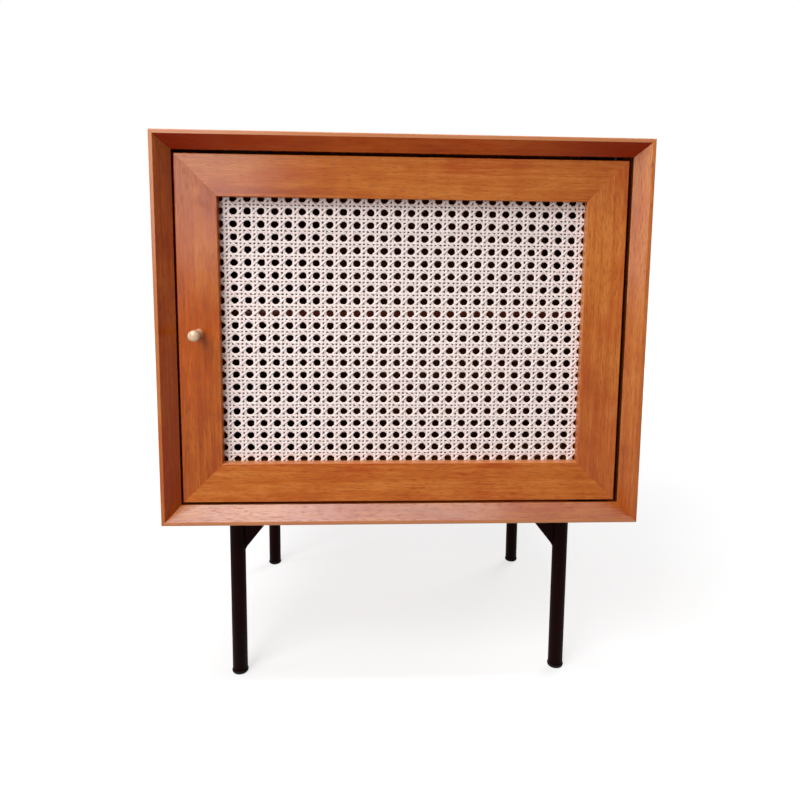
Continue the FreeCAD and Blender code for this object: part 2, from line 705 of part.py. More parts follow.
# Beads behind the cane, pinned to the rails and stiles
bead_profile = [
    ("0", "cane_back"),
    ("bead_width", "cane_back"),
    ("bead_width", "bead_back - bead_round"),
    ("bead_width - bead_round", "bead_back"),
    ("0", "bead_back"),
]
pin_columns = (
    "opening_left + bead_pin_corner",
    "(opening_left + opening_right) / 2",
    "opening_right - bead_pin_corner",
)
pin_rows = (
    "opening_low + bead_pin_corner",
    "(opening_low + opening_high) / 2",
    "opening_high - bead_pin_corner",
)
bead_pins = new_body("bead_pins")
for edge in ENDS:
    bead_name = "cane_bead_" + edge
    bead = mitred_member(bead_name, edge, BEADS, "bead_width", "cane_back", "bead_back", bead_profile)
    level = edge in ("top", "bottom")
    plane = "XY_Plane" if level else "YZ_Plane"
    points = [(x, "bead_middle") for x in pin_columns] if level else [("bead_middle", z) for z in pin_rows]
    side = {"top": "high", "bottom": "low"}.get(edge, edge)
    start = "opening_" + side
    tip = add(start, OUTWARD[side], "bead_pin_length")
    past = add(tip, OUTWARD[side], "pin_clearance")
    pin_ends = (start, tip) if OUTWARD[side] > 0 else (tip, start)
    hole_ends = (start, past) if OUTWARD[side] > 0 else (past, start)
    pad(bead_pins, plane, *pin_ends, circles(points, "bead_pin_diameter"))
    for pinned in (bead, members[edge]):
        pocket(pinned, plane, *hole_ends, circles(points, "bead_pin_diameter + 2 * pin_clearance"))

# Knob, turned about its own axis and laid along -Y, with its screw from behind
knob = new_body("door_knob")
knob.Placement = FreeCAD.Placement(FreeCAD.Vector(), FreeCAD.Rotation(FreeCAD.Vector(1, 0, 0), 90))
place(knob, "knob_x", "door_front", "knob_z")
knob_profile = [
    ("0", "0"),
    ("knob_base_diameter / 2", "0"),
    ("knob_base_diameter / 2", "knob_base_height"),
    ("knob_waist_diameter / 2", "knob_waist_height"),
    ("knob_head_diameter / 2", "knob_length - knob_head_height"),
    ("knob_head_diameter / 2", "knob_length"),
    ("0", "knob_length"),
]
revolve(knob, "XZ_Plane", knob_profile)
thread_end = "knob_screw_grip + knob_thread_spare"
thread_hole = "knob_screw_diameter + 2 * knob_thread_clearance"
pocket(knob, "XY_Plane", "0", thread_end, [("0", "0", thread_hole)])
round_edges(knob, "knob_round", lambda edge: edge.BoundBox.ZMin > number("knob_length - knob_round / 2"))
stile_hole = "knob_screw_diameter + 2 * knob_screw_clearance"
pocket(members["left"], "XZ_Plane", "door_front", "door_back", [("knob_x", "knob_z", stile_hole)])
knob_screw = new_body("knob_screw")
place(knob_screw, "knob_x", "0", "knob_z")
screw_rod = [("0", "0", "knob_screw_diameter")]
screw_head = [("0", "0", "knob_screw_head")]
pad(knob_screw, "XZ_Plane", "door_front - knob_screw_grip", "door_back", screw_rod)
pad(knob_screw, "XZ_Plane", "door_back", "door_back + knob_screw_head_height", screw_head)


# Pivot hinges: a leaf with a pin in the box and a bored leaf in the door, above and below


def leaf_outline(room="0"):
    return cut_rectangle(
        "pivot_x + leaf_end - leaf_length - (%s)" % room,
        "pivot_x + leaf_end + (%s)" % room,
        "pivot_y - leaf_width / 2 - (%s)" % room,
        "pivot_y + leaf_width / 2 + (%s)" % room,
        "leaf_corner",
    )


leaf_points = [("pivot_x - leaf_screw_near", "pivot_y"), ("pivot_x - leaf_screw_far", "pivot_y")]
frame_leaf_screws = new_body("frame_leaf_screws")
door_leaf_screws = new_body("door_leaf_screws")
for height, up, board_edge, box_face, door_edge in (
    ("upper", 1, "top", "top_under", "door_high"),
    ("lower", -1, "bottom", "floor_top", "door_low"),
):
    # The box leaf lies flush in the board, outwards of its face
    leaf_back = add(box_face, up, "leaf_thickness")
    leaf_ends = (box_face, leaf_back) if up > 0 else (leaf_back, box_face)
    board = boards[board_edge]
    pocket(board, "XY_Plane", *leaf_ends, [leaf_outline("leaf_clearance")])
    pilot_holes(board, "XY_Plane", leaf_points, box_face, up, "small_screw_length")
    frame_leaf = new_body(height + "_pivot_frame_leaf")
    pad(frame_leaf, "XY_Plane", *leaf_ends, [leaf_outline()])
    pocket(frame_leaf, "XY_Plane", *leaf_ends, [("pivot_x", "pivot_y", "pivot_pin_diameter")])
    countersunk_holes(frame_leaf, "XY_Plane", leaf_points, box_face, up, "small_screw_length")
    countersunk_screws(frame_leaf_screws, "XY_Plane", leaf_points, box_face, up, "small_screw_length")

    # The pin is riveted in the box leaf and reaches into the door
    pin_tip = add(door_edge, -up, "pivot_pin_reach")
    pin_ends = (pin_tip, leaf_back) if up > 0 else (leaf_back, pin_tip)
    pin = new_body(height + "_pivot_pin")
    pad(pin, "XY_Plane", *pin_ends, [("pivot_x", "pivot_y", "pivot_pin_diameter")])

    # The door leaf lies flush in the edge of the door and turns on the pin
    leaf_depth = add(door_edge, -up, "leaf_thickness")
    door_leaf_ends = (leaf_depth, door_edge) if up > 0 else (door_edge, leaf_depth)
    bore_end = add(pin_tip, -up, "pivot_end_room")
    bore_ends = (bore_end, door_edge) if up > 0 else (door_edge, bore_end)
    rail = members[board_edge]
    pocket(rail, "XY_Plane", *door_leaf_ends, [leaf_outline("leaf_clearance")])
    pocket(rail, "XY_Plane", *bore_ends, [("pivot_x", "pivot_y", "pivot_bore + 2 * pivot_relief")])
    pilot_holes(rail, "XY_Plane", leaf_points, door_edge, -up, "small_screw_length")
    door_leaf = new_body(height + "_pivot_door_leaf")
    pad(door_leaf, "XY_Plane", *door_leaf_ends, [leaf_outline()])
    pocket(door_leaf, "XY_Plane", *door_leaf_ends, [("pivot_x", "pivot_y", "pivot_bore")])
    countersunk_holes(door_leaf, "XY_Plane", leaf_points, door_edge, -up, "small_screw_length")
    countersunk_screws(door_leaf_screws, "XY_Plane", leaf_points, door_edge, -up, "small_screw_length")

washer = new_body("pivot_thrust_washer")
washer_outline = [("pivot_x", "pivot_y", "washer_diameter"), ("pivot_x", "pivot_y", "pivot_bore")]
pad(washer, "XY_Plane", "floor_top", "door_low - thrust_play", washer_outline)

# Magnetic catch under the top panel and its strike on the door
housing = new_body("catch_housing")
block = rectangle("catch_x - catch_length / 2", "catch_x + catch_length / 2", "catch_front", "catch_back")
pad(housing, "XY_Plane", "top_under - catch_height", "top_under", [block])
ear_half = "catch_length / 2 + catch_ear"
ears = rectangle(add("catch_x", -1, ear_half), add("catch_x", 1, ear_half), "catch_front", "catch_back")
pad(housing, "XY_Plane", "top_under - catch_ear_height", "top_under", [ears])
cavity = rectangle(
    "catch_x - pole_length / 2",
    "catch_x + pole_length / 2",
    "catch_z - magnet_height / 2 - pole_thickness",
    "catch_z + magnet_height / 2 + pole_thickness",
)
pocket(housing, "XZ_Plane", "catch_front", "catch_front + catch_cavity", [cavity])
ear_middle = "catch_length / 2 + catch_ear / 2"
catch_middle = "(catch_front + catch_back) / 2"
catch_points = [(add("catch_x", sign, ear_middle), catch_middle) for sign in (-1, 1)]
ear_face = "top_under - catch_ear_height"
countersunk_holes(housing, "XY_Plane", catch_points, ear_face, 1, "small_screw_length")
pilot_holes(boards["top"], "XY_Plane", catch_points, ear_face, 1, "small_screw_length")
catch_screws = new_body("catch_screws")
countersunk_screws(catch_screws, "XY_Plane", catch_points, ear_face, 1, "small_screw_length")

pole_span = ("catch_x - pole_length / 2", "catch_x + pole_length / 2")
poles = new_body("catch_pole_plates")
pole_outlines = [
    rectangle(*pole_span, "catch_z + magnet_height / 2", "catch_z + magnet_height / 2 + pole_thickness"),
    rectangle(*pole_span, "catch_z - magnet_height / 2 - pole_thickness", "catch_z - magnet_height / 2"),
]
pad(poles, "XZ_Plane", "pole_front", "catch_front + catch_cavity", pole_outlines)
magnet = new_body("catch_magnet")
magnet_outline = rectangle(*pole_span, "catch_z - magnet_height / 2", "catch_z + magnet_height / 2")
pad(magnet, "XZ_Plane", "catch_front", "catch_front + catch_cavity", [magnet_outline])

strike = new_body("catch_strike_plate")
strike_outline = rectangle(
    "catch_x - strike_length / 2",
    "catch_x + strike_length / 2",
    "catch_z - strike_height / 2",
    "catch_z + strike_height / 2",
)
pad(strike, "XZ_Plane", "door_back", "strike_back", [strike_outline])
strike_points = [("catch_x", "catch_z")]
countersunk_holes(strike, "XZ_Plane", strike_points, "strike_back", -1, "small_screw_length")
pilot_holes(members["top"], "XZ_Plane", strike_points, "strike_back", -1, "small_screw_length")
strike_screw = new_body("strike_screw")
countersunk_screws(strike_screw, "XZ_Plane", strike_points, "strike_back", -1, "small_screw_length")

# Every feature is sound, every pocket cuts something, and only then are the pieces written
doc.recompute()
for feature in doc.Objects:
    if "Invalid" in feature.State or "Error" in feature.State:
        raise RuntimeError("%s could not be built: %s" % (feature.Name, feature.State))
    if feature.TypeId == "PartDesign::Pocket" and not feature.Shape.Volume < feature.BaseFeature.Shape.Volume:
        raise RuntimeError("%s cuts nothing" % feature.Name)
for piece in pieces:
    if piece.Shape.isNull() or not piece.Shape.isValid() or not piece.Shape.Solids:
        raise RuntimeError("%s is not a sound solid" % piece.Label)
os.makedirs("parts", exist_ok=True)
for piece in pieces:
    piece.Shape.exportStep("parts/%s.step" % piece.Label)
print("%d pieces, %d solids" % (len(pieces), sum(len(piece.Shape.Solids) for piece in pieces)))
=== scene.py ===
"""Finishes of a side table with a cane-fronted door, laid out as an add-on.

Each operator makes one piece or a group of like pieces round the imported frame, which gives every place.
Lengths are metres, the floor is z = 0 and the front faces -Y.
"""
import math

import bmesh
import bpy
import numpy as np
from bpy.props import FloatProperty, FloatVectorProperty, PointerProperty
from mathutils import Matrix, Vector


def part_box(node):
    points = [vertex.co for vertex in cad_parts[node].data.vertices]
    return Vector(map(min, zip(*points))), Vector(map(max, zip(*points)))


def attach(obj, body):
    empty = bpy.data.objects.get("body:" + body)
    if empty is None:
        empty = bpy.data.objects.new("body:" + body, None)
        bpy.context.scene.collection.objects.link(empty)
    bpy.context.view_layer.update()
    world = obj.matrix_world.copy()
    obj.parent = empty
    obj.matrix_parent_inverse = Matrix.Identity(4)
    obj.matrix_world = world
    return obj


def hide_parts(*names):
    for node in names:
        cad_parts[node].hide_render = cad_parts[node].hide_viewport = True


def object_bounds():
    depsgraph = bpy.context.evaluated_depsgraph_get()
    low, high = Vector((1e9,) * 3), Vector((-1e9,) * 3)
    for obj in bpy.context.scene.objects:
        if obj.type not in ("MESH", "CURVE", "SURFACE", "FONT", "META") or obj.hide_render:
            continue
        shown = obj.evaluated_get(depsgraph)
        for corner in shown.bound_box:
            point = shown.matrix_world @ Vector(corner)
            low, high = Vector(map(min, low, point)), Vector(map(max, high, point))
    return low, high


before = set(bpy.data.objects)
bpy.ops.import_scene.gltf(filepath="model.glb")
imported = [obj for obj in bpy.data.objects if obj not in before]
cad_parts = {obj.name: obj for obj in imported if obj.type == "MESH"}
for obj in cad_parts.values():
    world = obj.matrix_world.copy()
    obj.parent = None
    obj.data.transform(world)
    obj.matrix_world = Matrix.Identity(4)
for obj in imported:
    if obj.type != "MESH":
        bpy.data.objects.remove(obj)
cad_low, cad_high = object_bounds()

bl_info = {
    "name": "Cane door side table",
    "version": (1, 0, 0),
    "blender": (4, 5, 0),
    "location": "View3D > Sidebar > Side table",
    "description": "Stained wood, woven cane and black steel of a side table",
    "category": "Object",
}

MM = 0.001
CORNERS = [depth + "_" + side for depth in ("front", "rear") for side in ("left", "right")]
FACING_DOWN = ((1, 0, 0), (0, -1, 0), (0, 0, -1))
FACING_BACK = ((1, 0, 0), (0, 0, 1), (0, -1, 0))

# Boards round the box and round the cane, by the edge that they make
BOX_EDGES = {
    "top": "top_panel",
    "bottom": "bottom_panel",
    "left": "left_side_panel",
    "right": "right_side_panel",
}
DOOR_EDGES = {
    "top": "door_top_rail",
    "bottom": "door_bottom_rail",
    "left": "door_knob_stile",
    "right": "door_hinge_stile",
}
LEVEL_EDGES = ("top", "bottom")

# Name of each visible board and what sets its wood apart, with the light and shade painted on it: a bevel
# tint, painted shade at a bevel's ends and a painted sheen on edges that face the light
BOX_LOOKS = {
    "top": ("top_board", dict(shift=1.7, bevel=(1.14, 0.82, 0.6), gloss=0.19, sheen=0.95, end_shade=1.0)),
    "bottom": ("bottom_board", dict(shift=2.6, bevel=(0.66, 0.66, 0.6), gloss=0.26, sheen=0.85)),
    "left": ("left_board", dict(shift=3.5, bevel=(0.86, 0.74, 0.55), sheen=0.75, end_shade=0.45)),
    "right": ("right_board", dict(shift=4.4, bevel=(0.85, 0.87, 0.88), gloss=0.28)),
}
# The lower rail and the hinge stile get a painted sheen on their inner edges, which face the light
DOOR_LOOKS = {
    "top": ("upper_rail", dict(shift=7.1, lift=0.03, gloss=0.24)),
    "bottom": ("lower_rail", dict(shift=8.2, lift=0.09, tint=(1.01, 0.95, 0.85), gloss=0.17, sheen=1.0)),
    "left": ("knob_stile", dict(shift=9.3, lift=-0.06, gloss=0.19)),
    "right": ("hinge_stile", dict(shift=11.0, lift=0.07, gloss=0.24, sheen=0.7)),
}
BEAD_TINT = (0.2, 0.2, 0.2)
# Painted shade: the shelf is darker and redder so that it stays dark behind the cane
SHELF_SHADE_TINT = (0.4, 0.3, 0.8)
# Share of painted shade on the inner faces of the box
INSIDE_SHADE = 0.85

# Where painted shade and painted sheen change along a board, in metres: outwards from its middle, or at
# these heights
SHADED_ENDS = (0.04, 0.24)
SHADED_FOOT = (0.52, 0.24)
SHEEN_HEAD = (0.26, 0.52)

# How far the cutter of a seat reaches past its leaf
SEAT_REACH = 2 * MM

# Rounding of a corner on a turning axis, which a small disc then replaces
AXIS_CORNER = 0.05 * MM

# Roundings of a gusset, from its head by the tube round to its foot
GUSSET_ROUNDS = (0.2 * MM, 0.6 * MM, 1.5 * MM, 6 * MM, 0.6 * MM)

# Radius of the plug on a foot, and height of a pan head's edge, as shares of the foot and of the head
PLUG_SHARE = 0.72
PAN_EDGE = 0.45


# Settings


def length(name, description, millimetres):
    size = millimetres * MM
    return FloatProperty(name=name, description=description, default=size, unit="LENGTH", precision=5)


def power(name, description, watts):
    return FloatProperty(name=name, description=description, default=watts, min=0, unit="POWER")


def colour(name, description, default):
    return FloatVectorProperty(
        name=name, description=description, default=default, size=3, subtype="COLOR", min=0, max=1
    )


class WoodSettings(bpy.types.PropertyGroup):
    """Boards of the box, the door frame and the shelf."""

    middle: colour("Stain", "Most of the stained wood", (0.445, 0.108, 0.0095))
    red: colour("Red patches", "Soft redder patches of the stain", (0.41, 0.07, 0.0045))
    pale: colour("Pale grain", "Light streaks", (0.55, 0.178, 0.03))
    deep: colour("Deep grain", "Dark streaks", (0.32, 0.054, 0.0045))
    pore: colour("Pores", "Short dark dashes along the grain", (0.19, 0.026, 0.002))
    # Painted shade at the ends of the bevels
    end_shade_colour: colour("Shaded ends", "Painted shade at the ends of a bevel", (0.29, 0.02, 0.001))
    # Painted sheen: edges that face the light are painted paler as a highlight
    edge_sheen: colour("Edge sheen", "Painted sheen on edges that face the light", (0.48, 0.182, 0.075))
    # Painted shade: the inner faces of the box are darkened where little light reaches
    inside: colour("Inside", "Painted shade on the inner faces of the box", (0.06, 0.013, 0.002))
    # The back's darkness is partly its stain and partly painted shade for the dark inside of the box
    back_shade: FloatProperty(
        name="Back", description="Stain of the back against the boards", default=0.55, min=0, max=1,
        subtype="FACTOR",
    )
    land: length("Front land", "Flat strip round the front of the box", 4)
    arris: length("Arris", "Rounding of the boards' outer edges", 1.2)
    bevel_arris: length("Bevel arris", "Rounding where the bevel meets land and inside", 0.5)
    frame_arris: length("Frame arris", "Rounding of the door frame's outer edges", 1.0)
    inner_arris: length("Inner arris", "Rounding of the door frame beside the cane", 0.8)
    hidden_arris: length("Hidden arris", "Rounding of rebates and back edges", 0.3)
    mitre_groove: length("Mitre groove", "Depth of the fine V at each mitre", 0.08)
    back_rebate: length("Back rebate", "Width of the rebate round the back", 9)
    cane_rebate: length("Cane rebate", "Width of the rebate behind the door frame", 9)
    seat_room: length("Seat room", "Gap round a hinge leaf in its seat", 0.1)
    leaf_corner: length("Leaf corner", "Cut corners of a hinge leaf", 3)
    shelf_nose: length("Shelf nose", "Rounding of the shelf's front edges", 3)


class CaneSettings(bpy.types.PropertyGroup):
    """Six-way weave: pairs up, pairs across and two diagonals."""

    pale: colour("Cane", "Bleached skin of the cane", (0.86, 0.735, 0.71))
    tan: colour("Fibre", "Darker fibres and edges", (0.60, 0.44, 0.34))
    pitch_across: length("Pitch across", "Hole to hole across", 14.0)
    pitch_up: length("Pitch up", "Hole to hole upwards", 13.03)
    first_column: length("First column", "Left column of holes from the edge of the opening", -0.3)
    first_row: length("First row", "Top row of holes above the edge of the opening", -0.65)
    upright_offset: length("Upright offset", "Upright strand from the middle of its pair", 2.05)
    upright_width: length("Upright width", "Upright strands", 2.6)
    cross_offset: length("Cross offset", "Cross strand from the middle of its pair", 1.8)
    cross_width: length("Cross width", "Cross strands", 2.5)
    diagonal_width: length("Diagonal width", "Diagonal strands", 2.45)
    strand_thickness: length("Strand thickness", "Every strand", 0.42)
    pair_wave: length("Pair wave", "Rise of a paired strand over its neighbour", 0.30)
    diagonal_wave: length("Diagonal wave", "Rise of a diagonal over a pair", 0.56)
    stray: length("Stray", "How far a strand strays to its sides", 0.22)
    slow_stray: length("Slow stray", "Length of the longer wave of a stray", 47)
    quick_stray: length("Quick stray", "Length of the shorter wave of a stray", 19)


class KnobSettings(bpy.types.PropertyGroup):
    """Small turned knob."""

    metal: colour("Metal", "Pale brass", (0.6, 0.405, 0.255))
    base_radius: length("Base radius", "Foot of the knob", 4.75)
    base_height: length("Base height", "Foot of the knob", 2.5)
    waist_radius: length("Waist radius", "Narrowest place", 4)
    waist_height: length("Waist height", "Narrowest place above the door", 9)
    head_height: length("Head height", "Rim and rounding of the head", 7)
    base_round: length("Base rounding", "Edge of the foot at the door", 0.3)
    neck_round: length("Neck rounding", "Edge of the foot at the neck", 0.6)
    waist_round: length("Waist rounding", "Curve of the narrowest place", 2)
    rim_round: length("Rim rounding", "Edge under the head", 1.6)
    head_round: length("Head rounding", "Edge of the head", 3.4)
    crown: length("Crown", "Rise of the head's face to its middle", 0.02)


class LegSettings(bpy.types.PropertyGroup):
    """Black tube legs with plates, gussets and plastic feet."""

    coat: colour("Powder coat", "Tubes, gussets and plates", (0.0054, 0.0008, 0.0006))
    foot: colour("Foot", "Plastic caps", (0.012, 0.011, 0.011))
    plate_corner: length("Plate corner", "Cut corners of a plate", 8)
    plate_round: length("Plate rounding", "Where a cut corner meets the sides of a plate", 1.5)
    gusset_nose: length("Gusset nose", "Blunt ends of a gusset", 5)
    sheet_arris: length("Sheet arris", "Rounding of plate and gusset edges", 0.5)
    foot_round: length("Foot rounding", "Edge of a foot at the floor", 3)
    weld: length("Weld", "Leg of the weld round the head of a tube", 1.6)


class FittingSettings(bpy.types.PropertyGroup):
    """Screws, hinges and catch."""

    steel: colour("Plated steel", "Screws and catch plates", (0.56, 0.55, 0.53))
    # Near black: painted shade, so that the pivots stay dark in the gap by the door
    brass: colour("Dark brass", "Pivot hinges", (0.02, 0.016, 0.012))
    catch: colour("Catch", "Plastic housing of the catch", (0.018, 0.017, 0.016))
    magnet: colour("Magnet", "Block inside the catch", (0.03, 0.03, 0.032))
    leg_head: length("Leg screw head", "Radius of the pan heads under the plates", 4.2)
    leg_inset: length("Leg screw inset", "Leg screws from the edges of a plate", 10)
    sunk_head: length("Sunk head", "Radius of a countersunk head", 2.8)
    back_corner: length("Back corner", "Outer back screws from the corners of the box", 60)


class StageSettings(bpy.types.PropertyGroup):
    """Camera, lamps and floor."""

    camera_place: FloatVectorProperty(
        name="Camera", description="Where the camera stands", size=3, subtype="TRANSLATION", unit="LENGTH",
        default=(-0.02812, -0.90665, 0.49402), precision=5,
    )
    yaw: FloatProperty(name="Yaw", description="Turn to the left", default=-0.0527, subtype="ANGLE")
    pitch: FloatProperty(name="Pitch", description="Tilt down", default=0.1273, subtype="ANGLE")
    roll: FloatProperty(name="Roll", description="Turn about the view", default=0.0119, subtype="ANGLE")
    lens: FloatProperty(
        name="Lens", description="Focal length for a 36 mm sensor", default=31.8343, min=1, unit="CAMERA"
    )
    shift_x: FloatProperty(name="Shift across", description="Share of the frame's width", default=-0.0178)
    shift_y: FloatProperty(name="Shift up", description="Share of the frame's width", default=-0.0835)
    window: power("Window", "Lamp from the upper left", 42)
    ceiling: power("Ceiling", "First lamp overhead", 13)
    side: power("Side", "Lamp on the left", 8)
    fill: power("Fill", "Lamp beside the camera", 10)
    rear: power("Rear", "Lamp behind on the right", 28)
    sky: FloatProperty(name="Sky", description="Even light from all round", default=0.15, min=0)
    floor: colour("Floor", "Pale floor", (0.36, 0.36, 0.36))
    floor_lift: FloatProperty(
        name="Floor lift", description="Added to the floor's own light in the picture", default=0.70, min=0
    )


class SideTableSettings(bpy.types.PropertyGroup):
    """All settings of the table."""

    wood: PointerProperty(type=WoodSettings)
    cane: PointerProperty(type=CaneSettings)
    knob: PointerProperty(type=KnobSettings)
    leg: PointerProperty(type=LegSettings)
    fitting: PointerProperty(type=FittingSettings)
    stage: PointerProperty(type=StageSettings)


# Surfaces


def rounded_outline(corners, radii, steps=4):
    """A closed outline whose corners are arcs, with its outward normals.

    An arc touches both sides at radius / tan(half the corner's angle) from the corner, and its points turn
    evenly about the arc's centre from one touching point to the other.
    """
    corners = np.asarray(corners, float)
    radii = np.asarray(radii, float)[:, None]
    back = np.roll(corners, 1, axis=0) - corners
    onward = np.roll(corners, -1, axis=0) - corners
    back /= np.linalg.norm(back, axis=1, keepdims=True)
    onward /= np.linalg.norm(onward, axis=1, keepdims=True)
    half = np.arccos(np.clip((back * onward).sum(1, keepdims=True), -1, 1)) / 2
    middle = back + onward
    middle /= np.linalg.norm(middle, axis=1, keepdims=True)
    centre = corners + middle * radii / np.sin(half)
    start = (corners + back * radii / np.tan(half) - centre) / radii
    end = (corners + onward * radii / np.tan(half) - centre) / radii
    sweep = (math.pi - 2 * half)[:, None]
    share = np.linspace(0, 1, steps + 1)[None, :, None]
    spokes = np.sin((1 - share) * sweep) * start[:, None] + np.sin(share * sweep) * end[:, None]
    spokes /= np.sin(sweep)
    points = centre[:, None] + radii[:, None] * spokes
    turn = back[:, 1] * onward[:, 0] - back[:, 0] * onward[:, 1]
    following = np.roll(corners, -1, axis=0)
    area = (corners[:, 0] * following[:, 1] - corners[:, 1] * following[:, 0]).sum()
    normals = spokes * np.sign(turn * area)[:, None, None]
    return points.reshape(-1, 2), normals.reshape(-1, 2)


def skin(rows, columns, wrap=True):
    """Quads over a grid of points, row by row; a wrapped row joins its last point to its first."""
    start = np.arange(rows - 1)[:, None] * columns
    column = np.arange(columns if wrap else columns - 1)[None, :]
    following = (column + 1) % columns
    quads = [start + column, start + following, start + columns + following, start + columns + column]
    return np.stack(quads, -1).reshape(-1, 4)


def tube_faces(rings, count):
    """The skin of a run of closed rings, with a flat face over each end."""
    last = (rings - 1) * count
    return [skin(rings, count), np.arange(count)[None, :], np.arange(last, last + count)[None, :]]


def many(faces, copies, points_each):
    """The faces of one shape, repeated for copies that follow each other in the array of points."""
    starts = np.arange(copies)[:, None, None] * points_each
    return [(block[None] + starts).reshape(-1, block.shape[1]) for block in faces]


def mark_side(corner_count, first, rings=4, steps=4):
    """A mark for every ring of a board: 1 on the side of its rounded outline that leaves corner `first`.

    The mark grows round the first corner's arc and ends half way round the next one's.
    """
    mark = np.zeros((corner_count, steps + 1))
    mark[first] = np.linspace(0, 1, steps + 1)
    mark[first + 1, : steps // 2 + 1] = 1
    return np.tile(mark.reshape(-1), rings)


def mitred_board(outline, normals, edge, rectangle, groove):
    """A profile carried along one side of a rectangle and mitred at both ends.

    The profile is (inward, y) points.  A point that lies `inward` of the side runs from `inward` past one
    corner to `inward` short of the other.  At the mitres the profile is drawn in by `groove`, and twice
    that further along it has its full size, which leaves a fine V between neighbours.
    """
    left, right, low, high = rectangle
    level = edge in LEVEL_EDGES
    first, last = (left, right) if level else (low, high)
    drawn_in = outline - normals * groove
    inward = np.stack([drawn_in[:, 0], outline[:, 0], outline[:, 0], drawn_in[:, 0]])
    y = np.stack([drawn_in[:, 1], outline[:, 1], outline[:, 1], drawn_in[:, 1]])
    along = np.stack([
        first + drawn_in[:, 0],
        first + outline[:, 0] + 2 * groove,
        last - outline[:, 0] - 2 * groove,
        last - drawn_in[:, 0],
    ])
    sides = {"top": high - inward, "bottom": low + inward, "left": left + inward, "right": right - inward}
    points = np.stack([along, y, sides[edge]] if level else [sides[edge], y, along], -1)
    return points, tube_faces(4, len(outline))


def turned(profile, segments=64):
    """A surface of revolution: each (radius, height) point goes round the axis in even steps."""
    turn = np.linspace(0, 2 * math.pi, segments, endpoint=False)[None, :]
    radius, height = np.asarray(profile, float).T[:, :, None]
    points = np.stack([radius * np.cos(turn), radius * np.sin(turn), height + 0 * turn], -1)
    return points, tube_faces(len(profile), segments)


def turned_solid(corners, radii, ends, pole, steps=4):
    """A turned solid whose (radius, height) corners start and end on the axis, the others rounded.

    A flat disc with the radius `pole` takes the place of each corner on the axis, at the two `ends`.
    """
    outline, _ = rounded_outline(corners, [AXIS_CORNER, *radii, AXIS_CORNER], steps)
    first, last = ([[pole, height]] for height in ends)
    return turned(np.concatenate([first, outline[steps + 1 : -steps - 1], last]))


def eased_sheet(outline, normals, thickness, arris, steps=3):
    """A flat sheet: an outline carried through the thickness, drawn in by a quarter circle at each face."""
    angle = np.linspace(0, math.pi / 2, steps + 1)
    inset = arris * (1 - np.sin(angle))
    level = arris * (1 - np.cos(angle))
    inset = np.concatenate([inset, inset[::-1]])
    level = np.concatenate([level, thickness - level[::-1]])
    rings = outline[None] - normals[None] * inset[:, None, None]
    points = np.concatenate([rings, np.broadcast_to(level[:, None, None], rings.shape[:2] + (1,))], -1)
    return points, tube_faces(len(level), len(outline))


def recessed_heads(places, turn_to, radius, height, edge_height, under, segments=40):
    """Screw heads with a four-armed recess, made facing +Z, turned by `turn_to` and set at each place.

    Rings of the recess are shares of its outline, 0.56 radius (0.4 + 0.6 |cos 2a|^3), and those outside go
    from that outline to the rim.  The face is domed from `height` in the middle to `edge_height` at the
    rim, and `under` gives the levels of the rim's lower edge and of the core below it.
    """
    turn = np.linspace(0, 2 * math.pi, segments, endpoint=False)[None, :]
    arm = 0.56 * radius * (0.4 + 0.6 * np.abs(np.cos(2 * turn)) ** 3)
    share = np.array([0.12, 0.55, 0.9, 1.0, 1.06])[:, None]
    sunk = np.array([0.42, 0.42, 0.36, 0.06, 0.0])[:, None] * radius
    inner = arm * share
    out = np.array([0.35, 0.7, 0.92, 1.0])[:, None]
    outer = inner[-1:] + (radius - inner[-1:]) * out
    ring = np.concatenate([inner, outer, outer[-1:], outer[-1:] * 0.5])
    dome = edge_height + (height - edge_height) * (1 - (ring / radius) ** 2)
    dome[: len(share)] -= sunk
    dome[-2:] = np.array(under)[:, None]
    head = np.stack([ring * np.cos(turn), ring * np.sin(turn), dome], -1) @ np.transpose(turn_to)
    points = head[None] + np.asarray(places, float)[:, None, None, :]
    return points, many(tube_faces(len(ring), segments), len(places), head.shape[0] * segments)


def wave_in_pair(share):
    """Height of a strand near a crossing pair: up over one of the pair and down under the other.

    The share u is the distance from the middle of the pair in pitches; 1.9 sin(4 pi u) cos^2(2 pi u) fades
    out a quarter of a pitch from the pair.
    """
    swing = 1.9 * np.sin(4 * math.pi * share) * np.cos(2 * math.pi * share) ** 2
    return np.where(np.abs(share) < 0.25, swing, 0)


def pitches(first, last, origin, pitch, samples=10):
    """Numbers of the pairs that stand between first and last, and an even fine scale, both in pitches.

    Pair n stands n + 0.5 pitches from the origin.
    """
    start, stop = (first - origin) / pitch, (last - origin) / pitch
    pairs = np.arange(math.ceil(start - 0.5), math.floor(stop - 0.5) + 1)
    return pairs, np.linspace(start, stop, int((stop - start) * samples))


def paired(centres, offset, run, wave):
    """Places of two strands beside each centre, and their heights along a run that is counted in pitches.

    The strands of a pair stand `offset` to either side, and one goes up where the other goes down.
    """
    sides = np.array([-1, 1])
    places = (centres[:, None] + sides * offset).reshape(-1, 1)
    hand = np.tile(sides, len(centres))[:, None]
    return places, hand * wave * wave_in_pair(run % 1.0 - 0.5)


